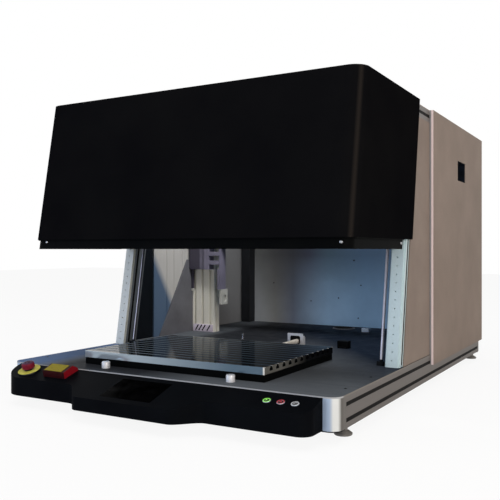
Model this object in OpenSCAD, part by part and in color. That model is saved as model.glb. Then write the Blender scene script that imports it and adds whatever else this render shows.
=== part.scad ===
// Benchtop laser marking machine with a lift-up door.
// Millimetres. x runs across the machine, y from the front edge of the deck to the rear, z up.
// The modules draw from the deck: z = 0 is its top face and y = 0 its front edge. on_feet() then sets
// every piece on the floor, with the origin under the middle of the machine.

/* [Base] */
// Width over the base rails
base_w = 850; // [830:5:900]
// How far the body stands inside the base rails, each side
body_inset = 2; // [0:0.5:4]
// Depth of the base
base_d = 1205; // [1195:5:1260]
// Side of one cell of the frame profiles
profile_w = 30; // [29:0.5:31]
// Mouth of a T-slot
slot_w = 8; // [6:0.5:8.5]
// Thickness of the deck plate
deck_t = 3; // [2:0.5:4]
// Length of a corner piece along each rail
corner_len = 38; // [32:1:44]
// Outer radius of a corner piece
corner_r = 25; // [15:1:30]
// Height of the levelling feet
foot_h = 25; // [20:1:35]
// Diameter of a foot pad
foot_d = 36; // [30:1:44]

/* [Body] */
// Lean of the front posts and of the door's travel, degrees from upright
lean = 10; // [8:0.5:11]
// From the deck's front edge to the foot of the front posts
post_y = 370; // [360:1:380]
// Width of a front post
post_w = 35; // [33:0.5:38]
// Depth of a front post
post_d = 45; // [36:1:50]
// Height of the body above the deck
body_h = 628.5; // [620:0.5:630]
// Thickness of the side panels
panel_t = 3; // [2:0.5:4]
// Thickness of the folded covers
cover_t = 2; // [1.5:0.5:3]
// Gap between the rear cover and the frame rails
cover_gap = 6; // [4:0.5:10]
// From the deck's front edge to the front of the rear cover
cover_y = 606; // [590:1:620]
// How far the rear cover hangs below the deck
cover_drop = 25; // [15:1:27]
// From the back wall of the chamber to the rear end of the base
wall_gap = 85; // [81:1:105]
// Width of a hand-grip window
grip_w = 95; // [80:1:120]
// Height of a hand-grip window
grip_h = 57; // [45:1:70]
// Depth of a hand-grip pocket
grip_depth = 28; // [20:1:34]

/* [Door] */
// Gap between the door's side sheets and the posts
door_gap = 4.5; // [3.5:0.5:7]
// Reach of the door in front of the posts, square to its travel
door_reach = 354; // [345:1:360]
// Overlap of the door's side sheets behind the post fronts
door_back = 27; // [15:1:35]
// Radius of the door's front corners
door_r = 33; // [25:1:50]
// Thickness of the door sheet
door_t = 2; // [1.5:0.5:2.5]
// Height of the open door's lower edge above the deck
door_z = 294.5; // [290:0.5:300]
// Height of the open door's top above the deck
door_top = 639; // [633:0.5:645]
// Drop of the inner lip below its flange
lip_drop = 21; // [18:1:26]
// Gap between the door sheet and the lip
lip_gap = 4.5; // [3:0.5:6]
// Width of the flange inside the door's lower edge
flange_w = 44; // [40:1:55]

/* [Guides and struts] */
// Width of a guide rail
guide_w = 28; // [24:1:30]
// Thickness of a guide rail
guide_t = 5; // [4:0.5:7]
// Pitch of the holes in a guide rail
guide_pitch = 20; // [15:5:40]
// Diameter of those holes
guide_hole_d = 3.2; // [2.5:0.1:5]
// Length of a guide block
block_l = 50; // [40:1:70]
// Diameter of a strut rod
rod_d = 7; // [6:0.5:8]
// Diameter of a strut tube
tube_d = 18; // [15:0.5:20]

/* [Work table] */
// Width of the table
table_w = 486; // [440:2:520]
// Depth of the table
table_d = 348; // [320:2:360]
// From the deck's front edge to the table
table_y = 62; // [60:1:75]
// Sideways place of the table's middle
table_x = -5; // [-20:1:20]
// Thickness of the slotted top plate
table_t = 15.3; // [13:0.1:18]
// Thickness of the base plate under it
table_base_t = 15.7; // [12:0.1:20]
// Pitch of the slots in the top plate
table_slot_pitch = 29; // [25:1:40]
// Diameter of a door buffer
buffer_d = 19; // [14:1:21]
// Sideways place of the door buffers
buffer_x = 162; // [120:1:220]

/* [Z axis] */
// Gap between a column and the side wall
column_gap = 5; // [4:0.5:10]
// From the deck's front edge to the front of the columns
column_y = 744; // [735:1:760]
// Height of the columns
column_h = 515; // [490:1:530]
// Length of a gusset along the deck
gusset_l = 179; // [150:1:220]
// Height of a gusset
gusset_h = 238; // [200:1:300]
// Thickness of a gusset
gusset_t = 5; // [4:0.5:8]
// Height of the lens above the deck, head raised
lens_z = 272; // [268:1:275]
// Diameter of the lens mount
lens_d = 80; // [60:1:90]
// Diameter of a lead screw
screw_d = 12; // [10:1:14]

/* [Console] */
// How far the console's ends stand inside the base, each side
console_in = 31; // [25:0.5:40]
// Depth of its wings
console_d = 63; // [60:1:70]
// Depth at the middle
bulge_d = 106; // [100:1:115]
// Half the width of the flat middle part
bulge_flat = 118; // [90:1:125]
// Half the width over the two bends
bulge_end = 176; // [165:1:185]
// Radius of the console's right front corner
console_r = 25; // [15:1:35]
// Radius of its left front corner, round the emergency stop
console_r_left = 58; // [50:1:60]
// Wall of the console
console_t = 3; // [2:0.5:4]
// Slope of the console's top, degrees
slope = 17; // [14:0.5:18]
// Width of the touch screen
screen_w = 130; // [110:1:150]
// Depth of the touch screen
screen_d = 80; // [70:1:84]
// From the console's right end to the middle button
button_in = 70; // [64:1:84]
// Pitch of the buttons
button_pitch = 29.5; // [24:0.5:32]
// Outer diameter of a button ring
ring_d = 16; // [15:0.5:20]
// From the console's left end to the emergency stop
estop_in = 60; // [50:1:70]
// Diameter of the emergency stop's yellow disc
estop_plate_d = 51; // [44:1:54]
// Diameter of the emergency stop's head
estop_head_d = 29; // [25:1:32]
// Length of the emission lamp
lamp_l = 65; // [50:1:70]

/* [Rear] */
// Outside diameter of the exhaust spigot
spigot_d = 80; // [60:1:100]
// How far the spigot stands behind the rear panel
spigot_reach = 32; // [25:1:60]
// Side of the cooling fan
fan_w = 120; // [92:1:120]
// Diameter of the round port in the deck
port_d = 76; // [60:1:90]

/* [Hidden] */
$fn = 64;

eps = 0.5;                 // overshoot of cuts
seat = 0.3;                // gap between a held piece and its seat
play = 0.5;                // running gap between moving pieces
rail_h = 2 * profile_w;    // base rails are two cells high
rail_x = base_w / 2 - profile_w;
rail_z = -deck_t - rail_h; // underside of the base rails
slot_lip = 2.2;            // lip beside a T-slot's mouth
slot_deep = 9;             // depth of a T-slot
slot_in = 2 * slot_w;      // width inside a T-slot, narrowing towards its floor
core_d = 6.8;              // bore along a profile's core

wall_y = base_d - wall_gap;         // front face of the back wall
frame_x = base_w / 2 - body_inset;  // outer face of the body's frame
frame_h = body_h - cover_t;         // top of the frame
frame_in = frame_h - profile_w;     // underside of the top rails
post_out = frame_x - panel_t;       // outer face of posts and uprights
post_in = post_out - post_w;
post_mid = (post_in + post_out) / 2;
cover_in = base_w / 2 + cover_gap;  // inner face of the rear cover's sides
cover_out = cover_in + cover_t;
cover_end = base_d - 10;            // rear edge of the rear cover
panel_end = cover_end - cover_t;    // rear face of the rear panel
upright_x = post_out - profile_w;
console_gap = 0.3;                  // console to front beam
console_w = base_w - 2 * console_in;
button_x = console_w / 2 - button_in;
estop_x = console_w / 2 - estop_in;
mid_y = (max(base_d, panel_end + spigot_reach) - bulge_d - console_gap) / 2;

tongue = 28;                        // reach of the door's top between the posts
upper_panel_p = tongue + 2;         // front face of the upper front panel, square to the lean
door_in = post_out + door_gap;
door_w = 2 * (door_in + door_t);
flange_z = door_z - door_t;         // underside of the door's inner flange
lip_z = flange_z - lip_drop;        // lower edge of the lip
door_travel = (lip_z - seat) / cos(lean);
block_t = 14;                       // guide block, over the post's face
plate_t = 6;                        // carriage plate
plate_p = guide_t + block_t + plate_t; // front face of a carriage plate
plate_z = door_z / cos(lean) + 46;  // lower end of the carriage plates, along the lean
plate_l = (door_top - door_z) / cos(lean) - 67.8;
strut_x = post_in - 15;
strut_p = 16.5;                     // strut axis behind the post fronts
strut_foot_h = 12;
tube_z = lip_z + strut_foot_h + 10; // lower end of a strut tube, door open
strut_grip = 25;                    // length of rod inside the tube, door open
tube_l = door_travel + strut_grip + 20;
buffer_h = lip_drop;

screw_y = column_y + profile_w + 21.3;
z_travel = 85;
tab_drop = 113;                     // how far a carriage's lower tab hangs below it
carriage_z = z_travel + tab_drop + 8;
carriage_h = 194;
column_w = 3 * profile_w;
column_out = post_out - column_gap; // outer side of a column
column_x = column_out - column_w / 2;
column_in = column_out - column_w;
side_t = 8;                         // side plate of a carriage
side_x = column_in - 31 - side_t;
head_w = 120;
head_h = 66;
head_z = lens_z + 17;               // underside of the scan head
lens_y = table_y + table_d / 2;

console_z = -deck_t + 0.5;          // rear edge of the console's top
wing_mid = console_d / cos(slope) / 2; // middle of a wing, down the slope
ring_t = 1.2;
cap_d = 10.4;
push = 1.5;                         // travel of a button
estop_push = 3;
estop_s = wing_mid - 2;             // emergency stop, down the slope
estop_rise = 3;                     // black collar under the yellow disc
estop_disc_t = 1.5;
estop_top = estop_rise + estop_disc_t + 0.2;  // top of the emergency stop's body
estop_lift = estop_top + estop_push + 0.2;    // underside of its head, released
estop_head_h = 14.6;
fan_x = 175 - base_w / 2;
fan_z = 470;
spigot_x = base_w / 2 - 175;
spigot_z = 500;
inlet_x = 95 - base_w / 2;
inlet_z = 70;
inlet_w = 60;
inlet_h = 30;

// y of a point that lies p behind the post fronts, square to the lean, at height z
function lean_y(p, z) = post_y + (p + z * sin(lean)) / cos(lean);
// soft step from 0 to 1
function soft(t) = t * t * (3 - 2 * t);

module on_feet() translate([0, -mid_y, foot_h - rail_z]) children();
module both() { children(); mirror([1, 0, 0]) children(); }
// frame whose z axis follows the lean, origin at the posts' foot
module leaning() translate([0, post_y, 0]) rotate([-lean, 0, 0]) children();
module slab(z1, z2) translate([-600, -300, z1]) cube([1200, 1700, z2 - z1]);
// plate in the y-z plane, from x0 towards +x
module yz_plate(x0, t) translate([x0, 0, 0]) rotate([90, 0, 90]) linear_extrude(t) children();
module along_y(x, y, z, l) translate([x, y, z]) rotate([-90, 0, 0]) linear_extrude(l) children();
module along_x(x, y, z, l) translate([x, y, z]) rotate([0, 90, 0]) linear_extrude(l) children();
// s is the way down the console's sloping top, z stands square to it
module on_slope(x, s) translate([x, -console_gap, console_z]) rotate([slope, 0, 0])
  translate([0, -s, 0]) children();

module slot() both() polygon([[-1, -eps], [slot_w / 2, -eps], [slot_w / 2, slot_lip],
  [slot_in / 2, slot_lip], [slot_in / 2, slot_lip + 1.6], [slot_w / 2, slot_deep], [-1, slot_deep]]);
// section of a T-slotted profile, nx by ny cells
module profile(nx, ny) difference() {
  square([nx * profile_w, ny * profile_w]);
  for (i = [0.5:nx]) {
    translate([i * profile_w, 0]) slot();
    translate([i * profile_w, ny * profile_w]) rotate(180) slot();
  }
  for (j = [0.5:ny]) {
    translate([0, j * profile_w]) rotate(-90) slot();
    translate([nx * profile_w, j * profile_w]) rotate(90) slot();
  }
  for (i = [0.5:nx], j = [0.5:ny]) translate([i * profile_w, j * profile_w]) circle(d = core_d);
}

// ---- base ----
module levelling_feet() on_feet() color("dimgray")
  for (x = [-1, 1], y = [84, base_d - 25]) translate([x * (base_w / 2 - 25), y, rail_z - foot_h])
    rotate_extrude() polygon([[0, 0], [foot_d / 2 - 1.5, 0], [foot_d / 2, 1.5], [foot_d / 2, 4],
      [foot_d / 3, 8.5], [8.5, 9.5], [8.5, 15], [5, 15], [5, foot_h], [0, foot_h]]);

module base_rails() on_feet() color("#7d7771") both()
  along_y(rail_x, corner_len, -deck_t, base_d - 2 * corner_len) profile(1, 2);

module base_beams() on_feet() color("#7d7771") for (y = [0, base_d - profile_w])
  along_x(corner_len - base_w / 2, y, -deck_t, base_w - 2 * corner_len) profile(2, 1);

// what rounds a square corner at the origin, the body lying towards +x and +y
module round_off(r) difference() {
  translate([-eps, -eps]) square(r + eps);
  translate([r, r]) circle(r);
}
module base_corner() translate([base_w / 2, 0, rail_z]) mirror([1, 0, 0]) linear_extrude(rail_h)
  difference() {
    square(corner_len);
    round_off(corner_r);
  }
module base_corners() on_feet() color("gainsboro") both() {
  base_corner();
  translate([0, base_d, 0]) mirror([0, 1, 0]) base_corner();
}

port_x = 4;
port_y = wall_y - port_d / 2 - 29;
module deck_plate() on_feet() color("#46474a") translate([0, 0, -deck_t])
  linear_extrude(deck_t) difference() {
    translate([-base_w / 2, 0]) square([base_w, base_d]);
    both() {
      translate([-base_w / 2, 0]) round_off(corner_r);
      translate([-base_w / 2, base_d]) mirror([0, 1]) round_off(corner_r);
    }
    translate([port_x, port_y]) circle(d = port_d - 8);
  }

// ---- frame ----
module front_posts() on_feet() color("#b8c4cb") both() intersection() {
  leaning() translate([post_in, 0, -60]) linear_extrude(800) difference() {
    square([post_w, post_d]);
    for (p = [0.28, 0.72]) translate([0, p * post_d]) rotate(-90) slot();
    translate([post_w, 0.28 * post_d]) rotate(90) slot();
    translate([post_w / 2, post_d]) rotate(180) slot();
  }
  slab(0, frame_in);
}

guide_n = floor((frame_in / cos(lean) - 30) / guide_pitch);
module guide_rails() on_feet() color("#a9bcc4") both() difference() {
  intersection() {
    leaning() translate([post_mid - guide_w / 2, -guide_t, -60]) cube([guide_w, guide_t, 800]);
    slab(seat, frame_in - 8);
  }
  leaning() for (i = [0:guide_n - 1]) translate([post_mid, eps, 15 + i * guide_pitch])
    rotate([90, 0, 0]) cylinder(d = guide_hole_d, h = guide_t + 2 * eps, $fn = 16);
}

module uprights() on_feet() color("#b9b4ac") both()
  translate([upright_x, wall_y + cover_t, 0]) linear_extrude(frame_in) profile(1, 1);

// flat grooved posts on the side walls, between the side panels and the rear cover
wall_post_y = cover_y - 65;
wall_post_d = 245;
wall_grooves = [65, 103, 149, 177];
groove_w = 5;
groove_t = 2;
module wall_posts() on_feet() color("#a39e96") both()
  translate([column_out + seat, wall_post_y, 0]) linear_extrude(frame_in) difference() {
    square([column_gap - seat, wall_post_d]);
    for (y = wall_grooves) translate([-eps, y - groove_w / 2]) square([groove_t + eps, groove_w]);
  }

rail_front = lean_y(1.5, frame_h);
module top_rails() on_feet() color("#7d7771") both()
  along_y(frame_x - profile_w, rail_front, frame_h, panel_end - cover_t - rail_front) profile(1, 1);

beam_y = lean_y(upper_panel_p + 0.5, body_h);
module top_beams() on_feet() color("#7d7771") for (y = [beam_y, cover_y + 4, wall_y + cover_t])
  along_x(profile_w - frame_x, y, frame_h, 2 * (frame_x - profile_w)) profile(1, 1);

// ---- panels and covers ----
panel_p = 22;              // front edge of a side panel, behind the post fronts
module side_panels() on_feet() color("#7d736b") both() yz_plate(post_out, panel_t)
  polygon([[lean_y(panel_p, 0), 0], [cover_y + 34, 0], [cover_y + 34, frame_in],
    [lean_y(panel_p, frame_in), frame_in]]);

duct_w = 34;
duct_d = 40;
duct_t = 2;
wall_post_end = wall_post_y + wall_post_d;
grip_y = wall_post_end + 0.4 * (wall_y - duct_d - wall_post_end - grip_w);
grip_z = 470;
module rear_cover() on_feet() color("#857c74") {
  difference() {
    translate([-cover_out, cover_y, -cover_drop])
      cube([2 * cover_out, cover_end - cover_y, body_h + cover_drop]);
    translate([-cover_in, cover_y - eps, -cover_drop - eps])
      cube([2 * cover_in, cover_end - cover_y + 2 * eps, frame_h + cover_drop + eps]);
    translate([-cover_out - eps, grip_y, grip_z]) cube([2 * cover_out + 2 * eps, grip_w, grip_h]);
  }
  both() {
    translate([frame_x + seat, cover_y, seat]) cube([cover_in - frame_x, cover_t, frame_h]);
    translate([base_w / 2 + seat, cover_y, -cover_drop])
      cube([cover_gap, cover_t, cover_drop + 2 * seat]);
    translate([upright_x, panel_end, seat]) cube([cover_in - upright_x, cover_t, frame_h - seat]);
  }
}

module roof_panel() on_feet() color("#7d736b")
  translate([-frame_x, beam_y, frame_h]) cube([2 * frame_x, cover_y - seat - beam_y, cover_t]);

upper_panel_z = lip_z + 98;  // lower edge of the upper front panel
module upper_front_panel() on_feet() color("#3a3b3d") intersection() {
  leaning() translate([seat - post_in, upper_panel_p, 0]) cube([2 * (post_in - seat), 3, 800]);
  slab(upper_panel_z, frame_in);
}

module back_wall() on_feet() color("#5b6168")
  translate([-post_out, wall_y, 0]) cube([2 * post_out, cover_t, frame_in]);

module cable_duct() on_feet() color("#15181b")
  translate([-post_out, wall_y - duct_d, 0]) linear_extrude(frame_in) difference() {
    square([duct_w, duct_d]);
    translate([duct_t, duct_t]) square([duct_w - 2 * duct_t, duct_d - 2 * duct_t]);
  }

// n louvre slots one above the other, each w long
louvre_pitch = 12;
louvre_h = 5;
louvre_n = 12;
louvre_w = 120;
module louvres(x, z, n, w) for (i = [0:n - 1])
  translate([x, z + i * louvre_pitch]) square([w, louvre_h]);
module rear_panel() on_feet() color("#7d736b") difference() {
  translate([0, panel_end, 0]) rotate([90, 0, 0]) linear_extrude(cover_t) difference() {
    translate([seat - cover_in, seat]) square([2 * (cover_in - seat), frame_h - 2 * seat]);
    intersection() {
      translate([fan_x, fan_z]) circle(d = fan_w - 8);
      louvres(fan_x - fan_w / 2, fan_z - 54, 10, fan_w);
    }
    translate([spigot_x, spigot_z]) circle(d = spigot_d - 2);
    for (x = [-louvre_w / 2, louvre_w - 20]) louvres(x, 120, louvre_n, louvre_w);
    translate([inlet_x - inlet_w / 2 + 6, inlet_z - inlet_h / 2 + 3])
      square([inlet_w - 12, inlet_h - 6]);
  }
}

// moulded pocket behind a hand-grip window, its front wall rounded for the fingers
grip_wall = 2;
grip_flange = 5;
grip_round = grip_depth - 6;
module hand_grips() on_feet() color("#12161c") both()
  translate([cover_in, grip_y, grip_z]) difference() {
    union() {
      translate([-1.5, -grip_flange, -grip_flange])
        cube([1.5, grip_w + 2 * grip_flange, grip_h + 2 * grip_flange]);
      translate([-grip_depth, -grip_wall, -grip_wall])
        cube([grip_depth, grip_w + 2 * grip_wall, grip_h + 2 * grip_wall]);
    }
    difference() {
      translate([grip_wall - grip_depth, 0, 0]) cube([grip_depth, grip_w, grip_h]);
      translate([grip_wall - grip_depth, 0, -1]) difference() {
        cube([grip_depth - grip_wall, grip_round, grip_h + 2]);
        translate([grip_round, grip_round, 0]) cylinder(r = grip_round, h = grip_h + 2);
        translate([grip_round, -1, 0]) cube([grip_depth, grip_round + 2, grip_h + 2]);
      }
    }
  }

// ---- rear fittings and the laser source ----
module exhaust_spigot() on_feet() color("#2a2b2d") translate([spigot_x, panel_end, spigot_z])
  rotate([-90, 0, 0]) rotate_extrude() polygon([[spigot_d / 2 - 2, -cover_t - 8],
    [spigot_d / 2 - 1.4, -cover_t - 8], [spigot_d / 2 - 1.4, 0], [spigot_d / 2 + 14, 0],
    [spigot_d / 2 + 14, 3], [spigot_d / 2, 3], [spigot_d / 2, spigot_reach],
    [spigot_d / 2 - 2, spigot_reach]]);

fan_t = 25;
module at_fan() translate([fan_x, panel_end - cover_t - fan_t, fan_z]) rotate([-90, 0, 0])
  children();
module fan_frame() on_feet() color("#1d1e20") at_fan() {
  linear_extrude(fan_t) difference() {
    square(fan_w, center = true);
    circle(d = fan_w - 6);
    for (x = [-1, 1], y = [-1, 1]) translate([x, y] * 0.4375 * fan_w) circle(d = 4.3);
  }
  linear_extrude(3) difference() {
    union() {
      circle(d = 44);
      for (a = [45:90:315]) rotate(a) translate([0, -3]) square([fan_w / 2 - 2, 6]);
    }
    circle(d = 8);
  }
}
module fan_wheel() on_feet() color("#26282b") at_fan() {
  translate([0, 0, 3 + play]) cylinder(d = 42, h = fan_t - 5);
  intersection() {
    translate([0, 0, 3 + play]) cylinder(d = fan_w - 9, h = fan_t - 5);
    for (a = [0:60:300]) rotate(a) translate([18, 0, fan_t / 2]) rotate([38, 0, 0])
      cube([fan_w / 2, 34, 2], center = false);
  }
}

module mains_inlet() on_feet() color("#1a1a1b") translate([inlet_x, panel_end, inlet_z])
  rotate([90, 0, 180]) {
    difference() {
      union() {
        translate([-inlet_w / 2, -inlet_h / 2, 0]) cube([inlet_w, inlet_h, 3]);
        translate([seat + 6 - inlet_w / 2, seat + 3 - inlet_h / 2, -28])
          cube([inlet_w - 12 - 2 * seat, inlet_h - 6 - 2 * seat, 30]);
      }
      translate([-13.5, -9, -18]) cube([27, 18, 30]);
      for (x = [-25, 25]) translate([x + sign(x), 0, -1]) cylinder(d = 3.4, h = 5);
    }
    for (x = [-7, 0, 7]) translate([x - 1, x == 0 ? 1 : -4, -18.5]) cube([2, 4, 15]);
  }

source_w = 400;
source_h = 240;
source_t = 22;
fin_n = 25;
fin_t = 4;
fin_h = 14;
module laser_source() on_feet() color("#30343a")
  translate([50 - source_w / 2, wall_y + cover_t + seat, 60]) {
    cube([source_w, source_t, source_h]);
    for (i = [0:fin_n - 1]) translate([(i + 0.25) * source_w / fin_n, source_t - 1, 0])
      cube([fin_t, fin_h + 1, source_h]);
  }

// ---- work table ----
module table_base() on_feet() color("#101113")
  translate([table_x - table_w / 2 + 1, table_y + 1, 0])
    cube([table_w - 2, table_d - 2, table_base_t]);

table_n = floor((table_d - 10) / table_slot_pitch);
module table_top() on_feet() color("#85888d") along_x(table_x - table_w / 2, table_y,
  table_base_t + table_t, table_w) difference() {
    square([table_t, table_d]);
    for (i = [0:table_n - 1])
      translate([0, (table_d + (2 * i + 1 - table_n) * table_slot_pitch) / 2]) rotate(-90) {
        translate([-4, -eps]) square([8, 10 + eps]);
        translate([-7, 4.5]) square([14, 5.5]);
      }
  }

buffer_y = 38;
module door_buffers() on_feet() color("silver") for (x = [-1, 1])
  translate([x * buffer_x, buffer_y, 0]) rotate_extrude() polygon([[0, 0], [buffer_d / 2, 0],
    [buffer_d / 2, buffer_h - 1.5], [buffer_d / 2 - 1.5, buffer_h], [0, buffer_h]]);

// ---- Z axis ----
module z_columns() on_feet() color("#c9c7c0") both() translate([column_in, column_y, 0])
  linear_extrude(column_h) profile(3, 1);

module gussets() on_feet() color("#4a4a4e") both()
  yz_plate(column_out - gusset_t, gusset_t)
    polygon([[column_y, 0], [column_y - gusset_l, 0], [column_y - 30, gusset_h],
      [column_y, gusset_h]]);

motor_w = 42;
motor_h = 44;
module z_motors() on_feet() color("#222326") both() translate([column_x, screw_y, column_h + 3]) {
  difference() {
    translate([-motor_w / 2, -motor_w / 2, 0]) cube([motor_w, motor_w, motor_h]);
    for (a = [45:90:315]) rotate(a) translate([motor_w / 2 + 5.5, -6, -1]) cube([8, 12, motor_h + 2]);
  }
  translate([0, 0, motor_h - 1]) cylinder(d = 20, h = 3);
  translate([-profile_w, seat + column_y - screw_y, seat - 3])
    cube([2 * profile_w, screw_y - column_y - seat + motor_w / 2, 3 - seat]);
}

module screw() {
  cylinder(d = screw_d, h = column_h - 3 - seat, $fn = 32);
  translate([0, 0, column_h - profile_w]) cylinder(d = screw_d + 8, h = 24);
}
module left_screw() on_feet() color("silver") translate([-column_x, screw_y, seat]) screw();
module right_screw() on_feet() color("silver") translate([column_x, screw_y, seat]) screw();

front_t = 22;               // front block of a carriage
front_w = column_w - gusset_t - 3;
leg = 64;                   // how far a carriage's plates hang below its front block
leg_w = 6;                  // outer leg, between the block and the gusset
flange_l = 60;              // slotted flange in front of the block
flange_t = 8.5;
flange_y = column_y - play - 30;
window_n = 7;
window_w = 39;
window_h = 15.5;
window_pitch = 28.4;
side_d = 38;                // depth of the side plate beside the column
tab = 38;                   // tab at its foot, set back by
tab_back = 13;
nut_d = 24;
nut_z = carriage_z + 100;
module z_carriages() on_feet() color("#66646f") both() difference() {
  union() {
    translate([column_in + 1, column_y - play - front_t, carriage_z])
      cube([front_w, front_t, carriage_h]);
    translate([column_in + 1 + front_w - leg_w, column_y - play - 10, carriage_z - leg - 8])
      cube([leg_w, 10, leg + 9]);
    translate([side_x, flange_y, carriage_z]) cube([flange_l, flange_t, carriage_h]);
    translate([side_x, flange_y, carriage_z - leg]) cube([side_t, side_d, carriage_h + leg]);
    translate([side_x, flange_y, nut_z - 10])
      cube([side_t, screw_y + nut_d / 2 - flange_y, carriage_h - nut_z + carriage_z + 10]);
    translate([side_x, flange_y + tab_back, carriage_z - tab_drop])
      cube([side_t, tab, tab_drop - leg + 1]);
    translate([side_x, screw_y - nut_d / 2, nut_z]) cube([column_x + 15 - side_x, nut_d, 30]);
  }
  for (i = [0:window_n - 1])
    translate([side_x + 1.5, flange_y - 1, carriage_z + 1 + i * window_pitch])
      cube([window_w, flange_t + 2, window_h]);
  translate([column_x, screw_y, nut_z - 1]) cylinder(d = screw_d + 2 * play, h = 32);
  translate([side_x - 1, flange_y + tab_back + tab / 2, carriage_z - tab_drop + tab / 2])
    rotate([0, 90, 0]) cylinder(d = 22, h = 3);
}

beam_z = head_z + 64;  // top of the cross beam
module cross_beam() on_feet() color("#8d8f94")
  along_x(seat - side_x, column_y - profile_w, beam_z, 2 * (side_x - seat)) profile(2, 1);

arm_w = 110;
arm_h = 56;
module laser_arm() on_feet() color("#2b2e33")
  along_y(table_x - arm_w / 2, lens_y + head_w / 2 + seat, beam_z - 2,
    column_y - profile_w - 2 * seat - lens_y - head_w / 2) difference() {
      square([arm_w, arm_h]);
      translate([3, 3]) square([arm_w - 6, arm_h - 6]);
    }

module scan_head() on_feet() color("#1f2226") translate([table_x, lens_y, head_z]) difference() {
  translate([-head_w / 2, -head_w / 2, 0]) cube([head_w, head_w, head_h]);
  translate([0, 0, -1]) cylinder(d = lens_d - 30, h = 20);
  translate([-head_w / 4, -head_w / 2 - 1, 18]) cube([head_w / 2, 3, 30]);
}

module lens() on_feet() color("#3c4046") translate([table_x, lens_y, lens_z]) rotate_extrude()
  polygon([[0, 5], [lens_d / 2 - 8, 3], [lens_d / 2 - 6, 0], [lens_d / 2 - 2, 0], [lens_d / 2, 2],
    [lens_d / 2, 10], [lens_d / 2 - 4, 11], [lens_d / 2 - 4, 17 - seat], [0, 17 - seat]]);

// ---- door, drawn open ----
module strut_rods() on_feet() color("silver") both() leaning()
  translate([strut_x, strut_p, 0]) {
    translate([0, 0, strut_foot_h / 2])
      cylinder(d = rod_d, h = (tube_z + strut_grip) / cos(lean) - strut_foot_h / 2, $fn = 32);
    difference() {
      translate([-8, -8, -6]) cube([16, 16, strut_foot_h + 6]);
      rotate([lean, 0, 0]) translate([-20, -20, -30 + strut_p * sin(lean)]) cube([40, 40, 30]);
    }
  }

module strut_tubes() on_feet() color("#2a2c2f") both() leaning()
  translate([strut_x, strut_p, tube_z / cos(lean)]) difference() {
    cylinder(d = tube_d, h = tube_l);
    translate([0, 0, -1]) cylinder(d = rod_d + 2 * play, h = tube_l - 9);
  }

// plan of the door square to its travel, drawn inset
module door_plan(inset, back) {
  r = door_r - inset;
  w = door_w / 2 - inset;
  f = inset - door_reach;
  translate([-w, f + r]) square([2 * w, back - f - r]);
  translate([r - w, f]) square([2 * (w - r), r + 1]);
  for (x = [-1, 1]) translate([x * (w - r), f + r]) circle(r);
}
module door_prism(inset, back) leaning() translate([0, 0, -100]) linear_extrude(900)
  door_plan(inset, back);

module door_hood() on_feet() color("#0d0e10") difference() {
  intersection() {
    door_prism(0, tongue);
    slab(door_z, door_top);
  }
  intersection() {
    door_prism(door_t, tongue + 1);
    slab(door_z - 1, door_top - door_t);
  }
  both() leaning() {
    translate([post_in - 2, -guide_t - 1, 0]) cube([door_in - post_in + 2, 60, 900]);
    translate([door_in - 1, door_back, 0]) cube([door_t + 2, 60, 900]);
  }
}

lip_in = door_t + lip_gap;
module door_frame() on_feet() color("#08090a") difference() {
  union() {
    intersection() {
      door_prism(door_t + 0.2, -plate_p - 3);
      slab(flange_z, door_z);
    }
    intersection() {
      door_prism(lip_in, -plate_p - 3);
      slab(lip_z, flange_z + 1);
    }
  }
  intersection() {
    door_prism(lip_in + 3, tongue);
    slab(lip_z - 1, flange_z);
  }
  leaning() translate([flange_w - door_in, flange_w - door_reach, 0])
    cube([2 * (door_in - flange_w), door_reach, 600]);
}

bolt_z = lip_z + lip_drop / 2;
bolt_d = 9;
bolt_h = lip_gap - 1;
module lip_bolts() on_feet() color("silver") both() {
  translate([door_w / 2 - door_r - 2, lean_y(lip_in - door_reach, bolt_z), bolt_z])
    rotate([90 - lean, 0, 0]) cylinder(d = bolt_d, h = bolt_h);
  translate([door_w / 2 - lip_in, lean_y(-plate_p - 14, bolt_z), bolt_z])
    rotate([0, 90, 0]) cylinder(d = bolt_d, h = bolt_h);
}

module carriage_plates() on_feet() color("#9aa0a6") both() leaning() {
  translate([post_in + 1, -plate_p, plate_z]) cube([door_in - post_in - 1, plate_t, plate_l]);
  translate([door_in - 3, -plate_p - 40, plate_z]) cube([3, 40 + plate_t, plate_l]);
  translate([strut_x - tube_d / 2, -plate_p, tube_z / cos(lean) + tube_l]) {
    cube([post_in + 2 + tube_d / 2 - strut_x, plate_t, 6]);
    cube([post_in - 1 + tube_d / 2 - strut_x, plate_p + strut_p + tube_d / 2, 6]);
  }
}

block_w = guide_w + 6;
module guide_blocks() on_feet() color("#5c6066") both() leaning()
  for (z = [plate_z + 10, plate_z + plate_l - block_l - 27])
    translate([post_mid - block_w / 2, -guide_t - block_t, z]) difference() {
      cube([block_w, guide_t + block_t - play, block_l]);
      translate([3 - play, block_t - play, -1])
        cube([guide_w + 2 * play, guide_t + 2, block_l + 2]);
    }

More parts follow.
